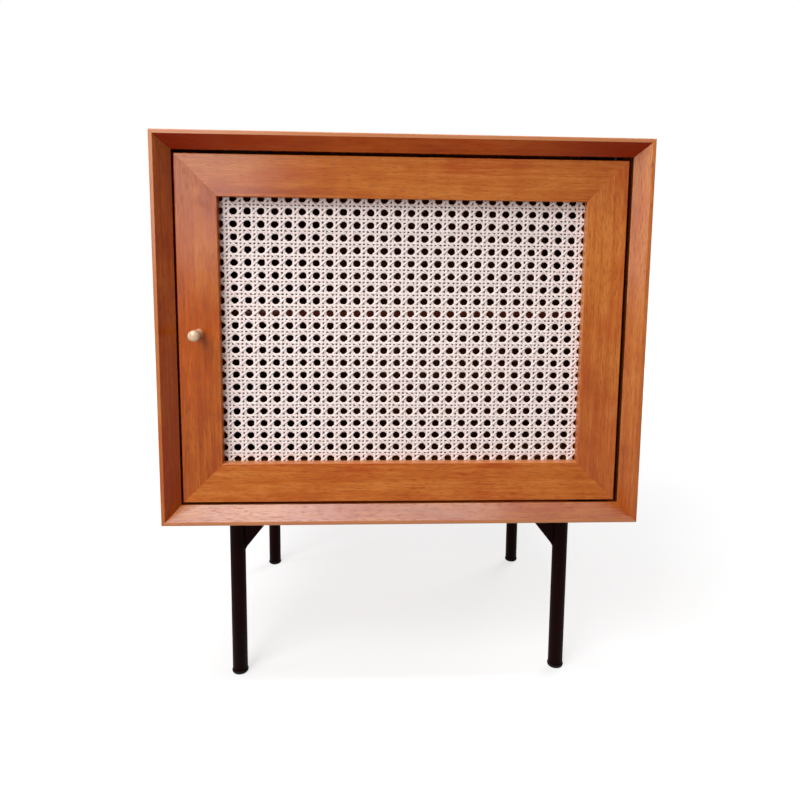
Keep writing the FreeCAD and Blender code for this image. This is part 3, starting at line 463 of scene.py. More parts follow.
def ribbons(along, across, level, direction, width, cane, keep=None):
    """Flat strands with rounded faces, each an ellipse carried along its own line.

    `along`, `across` and `level` are the x, z and y of every strand's centre line, and `direction` is the
    unit vector across the strand.  A strand strays to its sides by two sine waves along its run, with
    phases of its own, and its width is up to 6 % over or under the given one.  `keep` marks the stations
    that lie on the panel; a flat face closes each end of what is kept.  Returns points, faces and the
    strand attribute: distance along, place across from -1 to 1 and a number per strand.
    """
    along, across, level = np.broadcast_arrays(along, across, level)
    strands, stations = level.shape
    angle = np.arange(6) / 6 * 2 * math.pi
    steps = [np.diff(line, axis=1, prepend=line[:, :1]) for line in (along, across)]
    run = np.cumsum(np.hypot(*steps), 1)[..., None]
    number = np.random.default_rng(7).random(strands)[:, None, None]
    slow = np.sin(2 * math.pi * (run / cane.slow_stray + 5 * number))
    quick = np.sin(2 * math.pi * (run / cane.quick_stray + 9 * number))
    side = np.cos(angle) * width / 2 * (0.94 + 0.12 * number) + cane.stray * (slow + 0.6 * quick)
    rise = np.sin(angle) * cane.strand_thickness / 2
    x = along[..., None] + direction[0] * side
    z = across[..., None] + direction[1] * side
    y = level[..., None] + rise
    points = np.stack(np.broadcast_arrays(x, y, z), -1)
    strand = np.stack(np.broadcast_arrays(run, np.cos(angle), number), -1)
    quads = many([skin(stations, len(angle))], strands, stations * len(angle))[0]
    keep = np.ones((strands, stations), bool) if keep is None else keep
    quads = quads[np.repeat(keep, len(angle), axis=1).reshape(-1)[quads].all(1)]
    ends = np.stack([keep.argmax(1), stations - 1 - keep[:, ::-1].argmax(1)], 1)
    rings = (ends + stations * np.arange(strands)[:, None])[keep.sum(1) > 1].reshape(-1, 1)
    caps = rings * len(angle) + np.arange(len(angle))
    used, index = np.unique(np.concatenate([quads.ravel(), caps.ravel()]), return_inverse=True)
    faces = [index[: quads.size].reshape(quads.shape), index[quads.size :].reshape(caps.shape)]
    return points.reshape(-1, 3)[used], faces, strand.reshape(-1, 3)[used]


# Pieces


def new_mesh(name, points, faces):
    """A mesh of computed points and of blocks of faces, whose rows are the numbers of their corners."""
    points = np.asarray(points, np.float32).reshape(-1, 3)
    sizes = np.concatenate([np.full(len(block), block.shape[1]) for block in faces])
    corners = np.concatenate([block.ravel() for block in faces])
    mesh = bpy.data.meshes.new(name)
    mesh.vertices.add(len(points))
    mesh.vertices.foreach_set("co", points.ravel())
    mesh.loops.add(len(corners))
    mesh.loops.foreach_set("vertex_index", corners.astype(np.int32))
    mesh.polygons.add(len(sizes))
    mesh.polygons.foreach_set("loop_start", (np.cumsum(sizes) - sizes).astype(np.int32))
    mesh.update(calc_edges=True)
    return mesh


def put(name, data):
    """A new object in the scene for a mesh, a lamp or a camera."""
    item = bpy.data.objects.new(name, data)
    bpy.context.scene.collection.objects.link(item)
    return item


def make_piece(name, points, faces, material, body, nodes, slot, smooth=False, marks=None):
    """Put computed points and faces into a mesh object that rides on a body and stands for CAD nodes.

    `marks` holds named attributes for the material, each a number or a vector for every point.
    """
    mesh = new_mesh(name, points, faces)
    for mark, values in (marks or {}).items():
        kind, field = ("FLOAT_VECTOR", "vector") if values.ndim == 2 else ("FLOAT", "value")
        attribute = mesh.attributes.new(mark, kind, "POINT")
        attribute.data.foreach_set(field, values.astype(np.float32).ravel())
    turn_outwards(mesh)
    round_faces = [np.full(len(block), smooth and block.shape[1] == 4) for block in faces]
    mesh.polygons.foreach_set("use_smooth", np.concatenate(round_faces))
    mesh.materials.append(material)
    piece = put(name, mesh)
    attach(piece, body)
    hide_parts(*nodes)
    return piece


def turn_outwards(mesh):
    """Point every face of closed shapes outwards."""
    shape = bmesh.new()
    shape.from_mesh(mesh)
    bmesh.ops.recalc_face_normals(shape, faces=shape.faces)
    shape.to_mesh(mesh)
    shape.free()


def cut_rectangle(low, high, cut):
    """The (x, y) outline of a box whose corners are cut off at 45 degrees."""
    x, y = (low.x, high.x), (low.y, high.y)
    corners = [(x[0] + cut, y[0]), (x[1] - cut, y[0]), (x[1], y[0] + cut), (x[1], y[1] - cut)]
    corners += [(x[1] - cut, y[1]), (x[0] + cut, y[1]), (x[0], y[1] - cut), (x[0], y[0] + cut)]
    return np.array(corners)


def sink_seat(piece, leaf, up):
    """Cut the seat of a hinge leaf out of a board: the leaf's own outline, open on the pin's side."""
    wood = bpy.context.scene.side_table.wood
    low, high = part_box(leaf)
    room = Vector.Fill(3, wood.seat_room)
    past = Vector((0, 0, SEAT_REACH - wood.seat_room))
    low, high = low - room, high + room
    if up > 0:
        low -= past
    else:
        high += past
    outline = cut_rectangle(low, high, wood.leaf_corner)
    levels = np.repeat([low.z, high.z], len(outline))[:, None]
    points = np.concatenate([np.tile(outline, (2, 1)), levels], -1)
    cutter_mesh = new_mesh("seat", points, tube_faces(2, len(outline)))
    turn_outwards(cutter_mesh)
    cutter = put("seat", cutter_mesh)
    cut_away = piece.modifiers.new("seat", "BOOLEAN")
    cut_away.operation = "DIFFERENCE"
    cut_away.solver = "EXACT"
    cut_away.object = cutter
    depsgraph = bpy.context.evaluated_depsgraph_get()
    result = bpy.data.meshes.new_from_object(piece.evaluated_get(depsgraph))
    piece.modifiers.clear()
    piece.data = result
    bpy.data.objects.remove(cutter)


def finish_node(node, material):
    """Give a CAD node its finish."""
    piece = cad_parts[node]
    if not piece.material_slots:
        piece.data.materials.append(material)
    for holder in piece.material_slots:
        holder.material = material


# Materials


class Recipe:
    """Nodes of a material or a world, added and joined in short calls."""

    def __init__(self, holder, shader="Principled BSDF"):
        holder.use_nodes = True
        self.holder = holder
        self.tree = holder.node_tree
        self.shader = self.tree.nodes[shader]

    def join(self, node, inputs):
        """Link each named or numbered input to a socket, or set it to a plain value."""
        for key, value in inputs.items():
            if isinstance(value, bpy.types.NodeSocket):
                self.tree.links.new(value, node.inputs[key])
            else:
                node.inputs[key].default_value = value
        return node

    def add(self, kind, inputs, **settings):
        node = self.tree.nodes.new("ShaderNode" + kind)
        for key, value in settings.items():
            setattr(node, key, value)
        return self.join(node, inputs)

    def surface(self, **inputs):
        """Set the shader's own sockets; words of a socket's name are joined by underscores."""
        self.join(self.shader, {key.replace("_", " "): value for key, value in inputs.items()})
        return self.holder

    def object_place(self, turn=(0, 0, 0), shift=(0, 0, 0)):
        place = self.add("TexCoord", {}).outputs["Object"]
        mapping = {"Vector": place, "Rotation": turn, "Location": shift}
        return self.add("Mapping", mapping).outputs["Vector"]

    def axis(self, number):
        """One of the three object coordinates."""
        return self.add("SeparateXYZ", {0: self.object_place()}).outputs[number]

    def noise(self, place, stretch, detail, rough=0.55, distortion=0.0):
        """Noise over a place that is stretched by three factors."""
        stretched = self.add("VectorMath", {0: place, 1: stretch}, operation="MULTIPLY").outputs[0]
        inputs = {"Scale": 1.0, "Detail": detail, "Roughness": rough, "Distortion": distortion}
        return self.add("TexNoise", {"Vector": stretched, **inputs}).outputs[0]

    def spread(self, value, low, high, to_low=0.0, to_high=1.0):
        inputs = {0: value, 1: low, 2: high, 3: to_low, 4: to_high}
        return self.add("MapRange", inputs, interpolation_type="SMOOTHSTEP").outputs[0]

    def math(self, operation, *values):
        return self.add("Math", dict(enumerate(values)), operation=operation).outputs[0]

    def times(self, first, second):
        return self.math("MULTIPLY", first, second)

    def total(self, start, *parts):
        """The start with each further value added, times its weight."""
        for value, weight in parts:
            start = self.math("MULTIPLY_ADD", value, weight, start)
        return start

    def seen(self):
        """1 for what the picture, a reflection or a view through glass meets, and 0 for other light."""
        rays = self.add("LightPath", {}).outputs
        direct = self.math("MAXIMUM", rays["Is Camera Ray"], rays["Is Glossy Ray"])
        return self.math("MAXIMUM", direct, rays["Is Transmission Ray"])

    def blend(self, share, first, second, how="MIX"):
        """Mix two colours."""
        inputs = {0: share, 6: opaque(first), 7: opaque(second)}
        return self.add("Mix", inputs, data_type="RGBA", blend_type=how).outputs[2]

    def mark(self, name):
        return self.add("Attribute", {}, attribute_name=name).outputs["Fac"]

    def bump(self, height, strength, distance):
        return self.add("Bump", {"Height": height, "Strength": strength, "Distance": distance}).outputs[0]


def opaque(value):
    """A colour as four numbers, or a socket as it is."""
    return value if isinstance(value, bpy.types.NodeSocket) else (*value, 1.0)


def stained_wood(
    name, along, shift, lift=0.0, tint=(1, 1, 1), gloss=0.18, sheen=0.0, bevel=None, end_shade=0.0, shade=0.0
):
    """Straight-grained wood under a satin stain, its grain along X, Y or Z.

    Streaks, broad tone and fine fibre are noises stretched along the grain; pores are the peaks of a noise
    of short dashes.  The shift picks another part of the log, and lift and tint make one board paler,
    deeper or redder than the next.  Edges that their attribute marks get a painted sheen, paler where light
    falls on them, upright ones most at the top.  The face marked "bevel" is tinted by the bevel colour,
    which paints light and shade on it, and painted shade deepens it at both ends of a level board and at
    the foot of an upright one.  Shade paints the face marked "inside" darker, as painted shade.
    """
    wood = bpy.context.scene.side_table.wood
    turns = {"X": (0, 0, 0), "Y": (0, 0, -math.pi / 2), "Z": (0, math.pi / 2, 0)}
    recipe = Recipe(bpy.data.materials.new(name))
    grain = recipe.object_place(turns[along], (shift, 0.37 * shift, 0.61 * shift))
    streak = recipe.noise(grain, (6, 260, 260), 4.0, 0.62, 0.35)
    broad = recipe.noise(grain, (2.5, 13, 13), 2.0)
    fibre = recipe.noise(grain, (45, 1300, 1300), 2.0, 0.6)
    figure = recipe.noise(grain, (26, 60, 60), 2.0)
    patches = recipe.noise(grain, (9, 22, 22), 1.0)
    lines = recipe.spread(recipe.noise(grain, (48, 680, 680), 2.0), 0.56, 0.70)
    pores = recipe.spread(recipe.noise(grain, (130, 1250, 1250), 1.0), 0.56, 0.68)
    tone = recipe.total(lift + 0.03, (streak, 0.48), (broad, 0.5), (fibre, 0.35), (figure, 0.38))
    parts = (wood.pale, wood.middle, wood.red, wood.deep, wood.pore)
    pale, middle, red, deep, pore = (tuple(np.minimum(np.multiply(part, tint), 1.0)) for part in parts)
    stain = recipe.blend(recipe.spread(patches, 0.45, 0.62, 0.0, 0.75), middle, red)
    lower = recipe.blend(recipe.spread(tone, 0.64, 0.90), deep, stain)
    colours = recipe.blend(recipe.spread(tone, 0.84, 1.12), lower, pale)
    colours = recipe.blend(recipe.times(lines, 0.45), colours, deep)
    colours = recipe.blend(recipe.times(pores, 0.55), colours, pore)
    if bevel:
        face = recipe.mark("bevel")
        if along == "Z":
            reach = recipe.spread(recipe.axis(2), *SHADED_FOOT, 0.0, end_shade)
        else:
            reach = recipe.spread(recipe.math("ABSOLUTE", recipe.axis(0)), *SHADED_ENDS, 0.0, end_shade)
        # The bevel colour is painted light and shade on the bevel face, lightening or deepening each
        # board's bevel as light falls on it
        colours = recipe.blend(face, colours, bevel, "MULTIPLY")
        # Painted shade deepens the bevel at both ends of a level board and at the foot of an upright one
        colours = recipe.blend(recipe.times(face, reach), colours, tuple(wood.end_shade_colour))
    # Painted sheen: the marked edges are painted paler where light falls on them, uprights most at the top
    if sheen:
        sheen_mask = recipe.times(recipe.mark("sheen"), recipe.spread(streak, 0.3, 0.6, 0.75 * sheen, sheen))
        if along == "Z":
            sheen_mask = recipe.times(sheen_mask, recipe.spread(recipe.axis(2), *SHEEN_HEAD, 0.25, 1.0))
        colours = recipe.blend(sheen_mask, colours, tuple(wood.edge_sheen))
    # Painted shade darkens the inner faces, which stay dark in the gaps round the door
    if shade:
        colours = recipe.blend(recipe.times(recipe.mark("inside"), shade), colours, tuple(wood.inside))
    roughness = recipe.spread(recipe.total(fibre, (pores, 0.5)), 0.3, 1.1, 0.17, 0.30)
    relief = recipe.math("SUBTRACT", recipe.times(fibre, 0.3), pores)
    normal = recipe.bump(relief, 0.08, 0.00012)
    return recipe.surface(Base_Color=colours, Roughness=roughness, Normal=normal, Specular_IOR_Level=gloss)


def back_wood(name):
    """Dark plywood of the back, partly stain and partly painted shade: rotary-cut, with wide wandering
    figure.
    """
    wood = bpy.context.scene.side_table.wood
    dark, middle = (tuple(wood.back_shade * np.array(part)) for part in (wood.deep, wood.middle))
    recipe = Recipe(bpy.data.materials.new(name))
    place = recipe.object_place(shift=(0.3, 0.1, 0.2))
    wander = recipe.noise(place, (2.2, 40, 26), 3.0, 0.6, 1.4)
    fibre = recipe.noise(place, (45, 900, 900), 2.0)
    tone = recipe.total(0.0, (wander, 0.8), (fibre, 0.25))
    colours = recipe.blend(recipe.spread(tone, 0.38, 0.72), dark, middle)
    roughness = recipe.spread(fibre, 0.3, 0.7, 0.5, 0.66)
    normal = recipe.bump(fibre, 0.15, 0.00015)
    return recipe.surface(Base_Color=colours, Roughness=roughness, Normal=normal, Specular_IOR_Level=0.3)


def cane_skin(name):
    """Bleached cane: fine fibres along each strand, browner at its edges and at scattered joints."""
    cane = bpy.context.scene.side_table.cane
    recipe = Recipe(bpy.data.materials.new(name))
    strand = recipe.add("Attribute", {}, attribute_name="strand").outputs["Vector"]
    _, across, number = recipe.add("SeparateXYZ", {0: strand}).outputs
    fibre = recipe.noise(strand, (70, 5, 90), 3.0, 0.65)
    joints = recipe.spread(recipe.noise(strand, (26, 0, 310), 1.0), 0.66, 0.8)
    edge = recipe.math("POWER", recipe.math("ABSOLUTE", across), 5.0)
    tone = recipe.spread(fibre, 0.45, 0.8, 0.0, 0.34)
    tone = recipe.total(tone, (edge, 0.22), (joints, 0.35), (number, 0.14))
    colours = recipe.blend(tone, tuple(cane.pale), tuple(cane.tan))
    roughness = recipe.spread(fibre, 0.3, 0.7, 0.36, 0.55)
    normal = recipe.bump(fibre, 0.3, 0.0001)
    return recipe.surface(Base_Color=colours, Roughness=roughness, Normal=normal, Specular_IOR_Level=0.4)


def powder_coat(name, colours, rough, grain, depth):
    """A coat or moulded skin with a fine even texture and faint blotches."""
    recipe = Recipe(bpy.data.materials.new(name))
    place = recipe.object_place()
    peel = recipe.noise(place, (grain, grain, grain), 2.0)
    blotch = recipe.noise(place, (30, 30, 30), 3.0)
    shade = recipe.blend(recipe.spread(blotch, 0.3, 0.7), colours, tuple(1.7 * part for part in colours))
    roughness = recipe.spread(blotch, 0.3, 0.7, rough - 0.06, rough + 0.06)
    normal = recipe.bump(peel, 0.3, depth)
    return recipe.surface(Base_Color=shade, Roughness=roughness, Normal=normal, Specular_IOR_Level=0.03)


def worked_metal(name, colours, rough, stretch, bare=1.0):
    """Metal with fine working lines, long where the stretch is small; under lacquer less of it is bare."""
    recipe = Recipe(bpy.data.materials.new(name))
    place = recipe.object_place()
    lines = recipe.noise(place, stretch, 3.0, 0.6)
    cloud = recipe.noise(place, (90, 90, 90), 2.0)
    shade = recipe.blend(recipe.spread(cloud, 0.35, 0.7), colours, tuple(0.82 * part for part in colours))
    roughness = recipe.spread(lines, 0.3, 0.7, rough - 0.04, rough + 0.06)
    normal = recipe.bump(lines, 0.05, 0.00005)
    return recipe.surface(Base_Color=shade, Roughness=roughness, Normal=normal, Metallic=bare)


# Operators


def rectangle_of(nodes):
    """Left, right, low and high of the frame that four nodes make."""
    return (
        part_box(nodes["left"])[0].x,
        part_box(nodes["right"])[1].x,
        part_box(nodes["bottom"])[0].z,
        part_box(nodes["top"])[1].z,
    )


def mitred_frame(nodes, looks, corners, radii, sides, body, seats, shade=0.0):
    """Four boards of one profile, mitred round a rectangle, each in its own wood.

    `sides` gives each mark the corner of the profile that its side leaves, and `seats` gives a board the
    hinge leaf that is let into it and the way that the leaf goes in.
    """
    groove = bpy.context.scene.side_table.wood.mitre_groove
    outline, normals = rounded_outline(corners, radii)
    marks = {name: mark_side(len(corners), first) for name, first in sides.items()}
    for edge, node in nodes.items():
        name, look = looks[edge]
        along = "X" if edge in LEVEL_EDGES else "Z"
        material = stained_wood(name.replace("_", " ") + " wood", along, shade=shade, **look)
        shape = mitred_board(outline, normals, edge, rectangle_of(nodes), groove)
        piece = make_piece(name, *shape, material, body, [node], "stained_wood", marks=marks)
        if edge in seats:
            sink_seat(piece, *seats[edge])


class SIDETABLE_OT_box(bpy.types.Operator):
    """Four mitred boards of the box, bevelled inwards at the front"""

    bl_idname = "sidetable.box"
    bl_label = "Box"

    def execute(self, context):
        wood = context.scene.side_table.wood
        low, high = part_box(BOX_EDGES["left"])
        board = high.x - low.x
        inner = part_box("door_top_rail")[0].y
        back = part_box("back_panel")[0].y
        step = board - wood.back_rebate
        corners = [(0, low.y), (wood.land, low.y), (board, inner), (board, back)]
        corners += [(step, back), (step, high.y), (0, high.y)]
        radii = [wood.arris, wood.bevel_arris, wood.bevel_arris] + [wood.hidden_arris] * 3 + [wood.arris]
        # Marks: the front land for painted sheen, the bevel for its painted light and shade, the inner face
        # for painted shade
        sides = {"sheen": 0, "bevel": 1, "inside": 2}
        seats = {"top": ("upper_pivot_frame_leaf", 1), "bottom": ("lower_pivot_frame_leaf", -1)}
        mitred_frame(BOX_EDGES, BOX_LOOKS, corners, radii, sides, "carcass", seats, INSIDE_SHADE)
        finish_node("corner_splines", stained_wood("spline wood", "Y", 13.1))
        return {"FINISHED"}


class SIDETABLE_OT_door_frame(bpy.types.Operator):
    """Two rails and two stiles, mitred round the cane, with the beads behind it"""

    bl_idname = "sidetable.door_frame"
    bl_label = "Door frame"

    def execute(self, context):
        wood = context.scene.side_table.wood
        low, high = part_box(DOOR_EDGES["left"])
        width = high.x - low.x
        cane_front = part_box("cane_panel")[0].y
        step = width - wood.cane_rebate
        corners = [(0, low.y), (width, low.y), (width, cane_front), (step, cane_front)]
        corners += [(step, high.y), (0, high.y)]
        radii = [wood.frame_arris, wood.inner_arris] + [wood.hidden_arris] * 4
        seats = {"top": ("upper_pivot_door_leaf", -1), "bottom": ("lower_pivot_door_leaf", 1)}
        # The inner edges beside the cane carry the painted sheen
        mitred_frame(DOOR_EDGES, DOOR_LOOKS, corners, radii, {"sheen": 1}, "door", seats)
        level = stained_wood("level bead wood", "X", 11.9, tint=BEAD_TINT)
        upright = stained_wood("upright bead wood", "Z", 12.7, tint=BEAD_TINT)
        for edge in DOOR_EDGES:
            finish_node("cane_bead_" + edge, level if edge in LEVEL_EDGES else upright)
        finish_node("door_corner_tenons", level)
        return {"FINISHED"}


class SIDETABLE_OT_cane(bpy.types.Operator):
    """Woven cane: upright pairs, cross pairs and two diagonals round every hole"""

    bl_idname = "sidetable.cane"
    bl_label = "Cane"

    def execute(self, context):
        cane = context.scene.side_table.cane
        low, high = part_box("cane_panel")
        origin_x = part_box(DOOR_EDGES["left"])[1].x + cane.first_column
        middle = (low.y + high.y) / 2
        step_x, step_z = cane.pitch_across, cane.pitch_up
        origin_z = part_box(DOOR_EDGES["top"])[0].z + cane.first_row
        columns, fine_columns = pitches(low.x, high.x, origin_x, step_x)
        rows, fine_rows = pitches(low.z, high.z, origin_z, step_z)
        x_run = origin_x + fine_columns * step_x
        z_run = origin_z + fine_rows * step_z
        shapes = {}

        # Upright pairs stand half a pitch from the holes and weave over and under the cross pairs
        centres = origin_x + (columns + 0.5) * step_x
        x, wave = paired(centres, cane.upright_offset, fine_rows, cane.pair_wave)
        shapes["upright"] = ribbons(x, z_run, middle + wave, (1, 0), cane.upright_width, cane)

        # Cross pairs do the same the other way round
        centres = origin_z + (rows + 0.5) * step_z
        z, wave = paired(centres, cane.cross_offset, fine_columns, cane.pair_wave)
        shapes["cross"] = ribbons(x_run, z, middle + wave, (0, 1), cane.cross_width, cane)

        # Diagonals pass half way between holes, over one pair and under the next
        slope = math.hypot(step_x, step_z)
        for word, rise in (("rising", 1), ("falling", -1)):
            ends = fine_rows[[0, -1]][:, None] - rise * fine_columns[[0, -1]]
            lines = np.arange(math.floor(ends.min()), math.ceil(ends.max()) + 1) + 0.5
            row = lines[:, None] + rise * fine_columns
            z = origin_z + row * step_z
            level = middle + rise * cane.diagonal_wave * np.cos(2 * math.pi * fine_columns)
            direction = (-rise * step_z / slope, step_x / slope)
            keep = (row > fine_rows[0]) & (row < fine_rows[-1])
            shapes[word] = ribbons(x_run, z, level, direction, cane.diagonal_width, cane, keep)

        material = cane_skin("cane skin")
        for word, (points, faces, strand) in shapes.items():
            name = "cane_" + word + "_strands"
            marks = {"strand": strand}
            make_piece(name, points, faces, material, "door", ["cane_panel"], "cane", True, marks)
        return {"FINISHED"}


class SIDETABLE_OT_knob(bpy.types.Operator):
    """Turned knob on the left-hand stile"""

    bl_idname = "sidetable.knob"
    bl_label = "Knob"

    def execute(self, context):
        knob = context.scene.side_table.knob
        low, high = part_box("door_knob")
        reach, head = high.y - low.y, (high.x - low.x) / 2
        corners = [(0, 0), (knob.base_radius, 0), (knob.base_radius, knob.base_height)]
        corners += [(knob.waist_radius, knob.waist_height), (head, reach - knob.head_height), (head, reach)]
        corners += [(0, reach - knob.crown)]
        radii = [knob.base_round, knob.neck_round, knob.waist_round, knob.rim_round, knob.head_round]
        points, faces = turned_solid(corners, radii, ends=(0, reach), pole=0.3 * MM, steps=6)
        points = np.stack([points[..., 0], -points[..., 2], points[..., 1]], -1)
        centre = (low + high) / 2
        points = points + np.array([centre.x, high.y, centre.z])
        metal = worked_metal("pale brass", tuple(knob.metal), 0.22, (900, 120, 900), 0.2)
        make_piece("turned_knob", points, faces, metal, "door", ["door_knob"], "pale_brass", True)
        return {"FINISHED"}


class SIDETABLE_OT_legs(bpy.types.Operator):
    """Four tube legs, each with a plate, a gusset and a foot"""

    bl_idname = "sidetable.legs"
    bl_label = "Legs"

    def execute(self, context):
        leg = context.scene.side_table.leg
        coat = powder_coat("black powder coat", tuple(leg.coat), 0.52, 1600, 0.00012)
        plastic = powder_coat("foot plastic", tuple(leg.foot), 0.6, 2600, 0.00008)
        for corner in CORNERS:
            inwards = 1 if corner.endswith("left") else -1
            self.tube(corner, leg, coat)
            self.gusset(corner, inwards, leg, coat)
            self.plate(corner, leg, coat)
            self.foot(corner, leg, plastic)
        return {"FINISHED"}

    def tube(self, corner, leg, coat):
        """A straight tube that flares into its weld: radius + weld (1 - sqrt(1 - t^2)) up to the plate."""
        node = corner + "_leg_tube"
        low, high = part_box(node)
        radius = (high.x - low.x) / 2
        centre = (low + high) / 2
        share = np.linspace(0, 1, 7)
        flare = radius + leg.weld * (1 - np.sqrt(1 - share**2))
        # The lower end is eased, and a ring well below the weld keeps the shading of the tube straight
        ease, ease_height, plain = 0.3 * MM, 0.4 * MM, 40 * MM
        straight = [low.z, low.z + ease_height, high.z - plain]
        heights = np.concatenate([straight, high.z - leg.weld * (1 - share)])
        radii = np.concatenate([[radius - ease, radius, radius], flare])
        points, faces = turned(np.stack([radii, heights], -1), 96)
        points = points + np.array([centre.x, centre.y, 0])
        make_piece(corner + "_tube", points, faces, coat, "carcass", [node], "black_steel", True)

    def gusset(self, corner, inwards, leg, coat):
        """A blunt-nosed triangle of sheet between tube and plate."""
        node = corner + "_leg_gusset"
        low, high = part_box(node)
        tube_low, tube_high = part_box(corner + "_leg_tube")
        axis = (tube_low.x + tube_high.x) / 2
        near, far = sorted(abs(x - axis) for x in (low.x, high.x))
        tall, nose = high.z - low.z, leg.gusset_nose
        corners = [(near, 0), (far, 0), (far, -nose), (near + nose / 2, nose - tall), (near, -tall)]
        outline, normals = rounded_outline(corners, GUSSET_ROUNDS)
        points, faces = eased_sheet(outline, normals, high.y - low.y, leg.sheet_arris)
        across, up, deep = np.moveaxis(points, -1, 0)
        points = np.stack([axis + inwards * across, low.y + deep, high.z + up], -1)
        make_piece(corner + "_gusset", points, faces, coat, "carcass", [node], "black_steel")

    def plate(self, corner, leg, coat):
        """A cut-cornered plate against the underside of the box."""
        node = corner + "_leg_plate"
        low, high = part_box(node)
        corners = cut_rectangle(low, high, leg.plate_corner)
        outline, normals = rounded_outline(corners, [leg.plate_round] * len(corners))
        points, faces = eased_sheet(outline, normals, high.z - low.z, leg.sheet_arris)
        points = points + np.array([0, 0, low.z])
        make_piece(corner + "_plate", points, faces, coat, "carcass", [node], "black_steel")

    def foot(self, corner, leg, plastic):
        """A turned cap, rounded at the floor, with a plug inside the tube."""
        node = corner + "_foot_cap"
        low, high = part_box(node)
        radius = (high.x - low.x) / 2
        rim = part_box(corner + "_leg_tube")[0].z
        plug = PLUG_SHARE * radius
        centre = (low + high) / 2
        corners = [(0, low.z), (radius, low.z), (radius, rim), (plug, rim), (plug, high.z), (0, high.z)]
        rim_round, plug_root, plug_round = 0.4 * MM, 0.1 * MM, 0.5 * MM
        radii = [leg.foot_round, rim_round, plug_root, plug_round]
        points, faces = turned_solid(corners, radii, ends=(low.z, high.z), pole=0.5 * MM)
        points = points + np.array([centre.x, centre.y, 0])
        make_piece(corner + "_foot", points, faces, plastic, "carcass", [node], "black_plastic", True)


class SIDETABLE_OT_inside(bpy.types.Operator):
    """Shelf and back"""

    bl_idname = "sidetable.inside"
    bl_label = "Shelf and back"

    def execute(self, context):
        wood = context.scene.side_table.wood
        low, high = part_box("shelf")
        corners = [(low.y, low.z), (high.y, low.z), (high.y, high.z), (low.y, high.z)]
        radii = [wood.shelf_nose, wood.hidden_arris, wood.hidden_arris, wood.shelf_nose]
        outline, _ = rounded_outline(corners, radii, 6)
        ends = np.array([low.x, high.x])[:, None]
        across, up = outline.T[:, None, :]
        points = np.stack(np.broadcast_arrays(ends, across, up), -1)
        faces = tube_faces(2, len(outline))
        # The shelf is lowered and tinted darker: painted shade inside the box
        shelf_wood = stained_wood("shelf wood", "X", 15.3, -0.3, SHELF_SHADE_TINT)
        make_piece("shelf_board", points, faces, shelf_wood, "carcass", ["shelf"], "stained_wood")
        finish_node("back_panel", back_wood("back wood"))
        return {"FINISHED"}


class SIDETABLE_OT_fittings(bpy.types.Operator):
    """Screws, pivot hinges, magnetic catch and shelf pins"""

    bl_idname = "sidetable.fittings"
    bl_label = "Fittings"

    def execute(self, context):
        fitting = context.scene.side_table.fitting
        steel = worked_metal("plated steel", tuple(fitting.steel), 0.3, (700, 700, 700))
        self.leg_screws(fitting, steel)
        self.back_screws(fitting, steel)
        self.knob_screw(steel)
        plated = ["frame_leaf_screws", "door_leaf_screws", "bead_pins", "catch_screws", "strike_screw"]
        plated += ["catch_strike_plate", "catch_pole_plates", "shelf_pins"]
        for node in plated:
            finish_node(node, steel)
        # The pivots are near black, painted shade for the dark gap where they sit
        brass = worked_metal("pivot brass", tuple(fitting.brass), 0.42, (200, 900, 900))
        for height in ("upper", "lower"):
            for part in ("frame_leaf", "door_leaf", "pin"):
                finish_node(height + "_pivot_" + part, brass)
        finish_node("pivot_thrust_washer", brass)
        finish_node("catch_housing", powder_coat("catch plastic", tuple(fitting.catch), 0.5, 2400, 0.00008))
        finish_node("catch_magnet", powder_coat("magnet", tuple(fitting.magnet), 0.62, 1200, 0.0001))
        return {"FINISHED"}

    def leg_screws(self, fitting, steel):
        """Pan heads in the corners of the plates, facing the floor."""
        inset = fitting.leg_inset
        places = []
        for corner in CORNERS:
            low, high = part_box(corner + "_leg_plate")
            rows = (low.y + inset, high.y - inset)
            places += [(x, y, low.z) for x in (low.x + inset, high.x - inset) for y in rows]
        tall = places[0][2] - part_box("leg_screws")[0].z
        shape = recessed_heads(places, FACING_DOWN, fitting.leg_head, tall, PAN_EDGE * tall, (0, 0))
        make_piece("leg_screw_heads", *shape, steel, "carcass", ["leg_screws"], "plated_steel", True)

    def back_screws(self, fitting, steel):
        """Countersunk heads flush with the back: three along the top and bottom, two up each side."""
        radius, corner = fitting.sunk_head, fitting.back_corner
        low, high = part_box("back_panel_screws")
        left, right, foot, head = rectangle_of(BOX_EDGES)
        columns = (left + corner, (left + right) / 2, right - corner)
        places = [(x, high.y, z) for z in (low.z + radius, high.z - radius) for x in columns]
        rows = (foot + corner, head - corner)
        places += [(x, high.y, z) for x in (low.x + radius, high.x - radius) for z in rows]
        rim_level, core_level = -0.2 * MM, -1.6 * MM
        shape = recessed_heads(places, FACING_BACK, radius, 0, 0, (rim_level, core_level))
        nodes = ["back_panel_screws"]
        make_piece("back_screw_heads", *shape, steel, "carcass", nodes, "plated_steel", True)

    def knob_screw(self, steel):
        """A pan head on the back of the knob stile."""
        low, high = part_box("knob_screw")
        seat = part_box("door_knob_stile")[1].y
        tall = high.y - seat
        places = [((low.x + high.x) / 2, seat, (low.z + high.z) / 2)]
        shape = recessed_heads(places, FACING_BACK, (high.x - low.x) / 2, tall, PAN_EDGE * tall, (0, 0))
        make_piece("knob_screw_head", *shape, steel, "door", ["knob_screw"], "plated_steel", True)


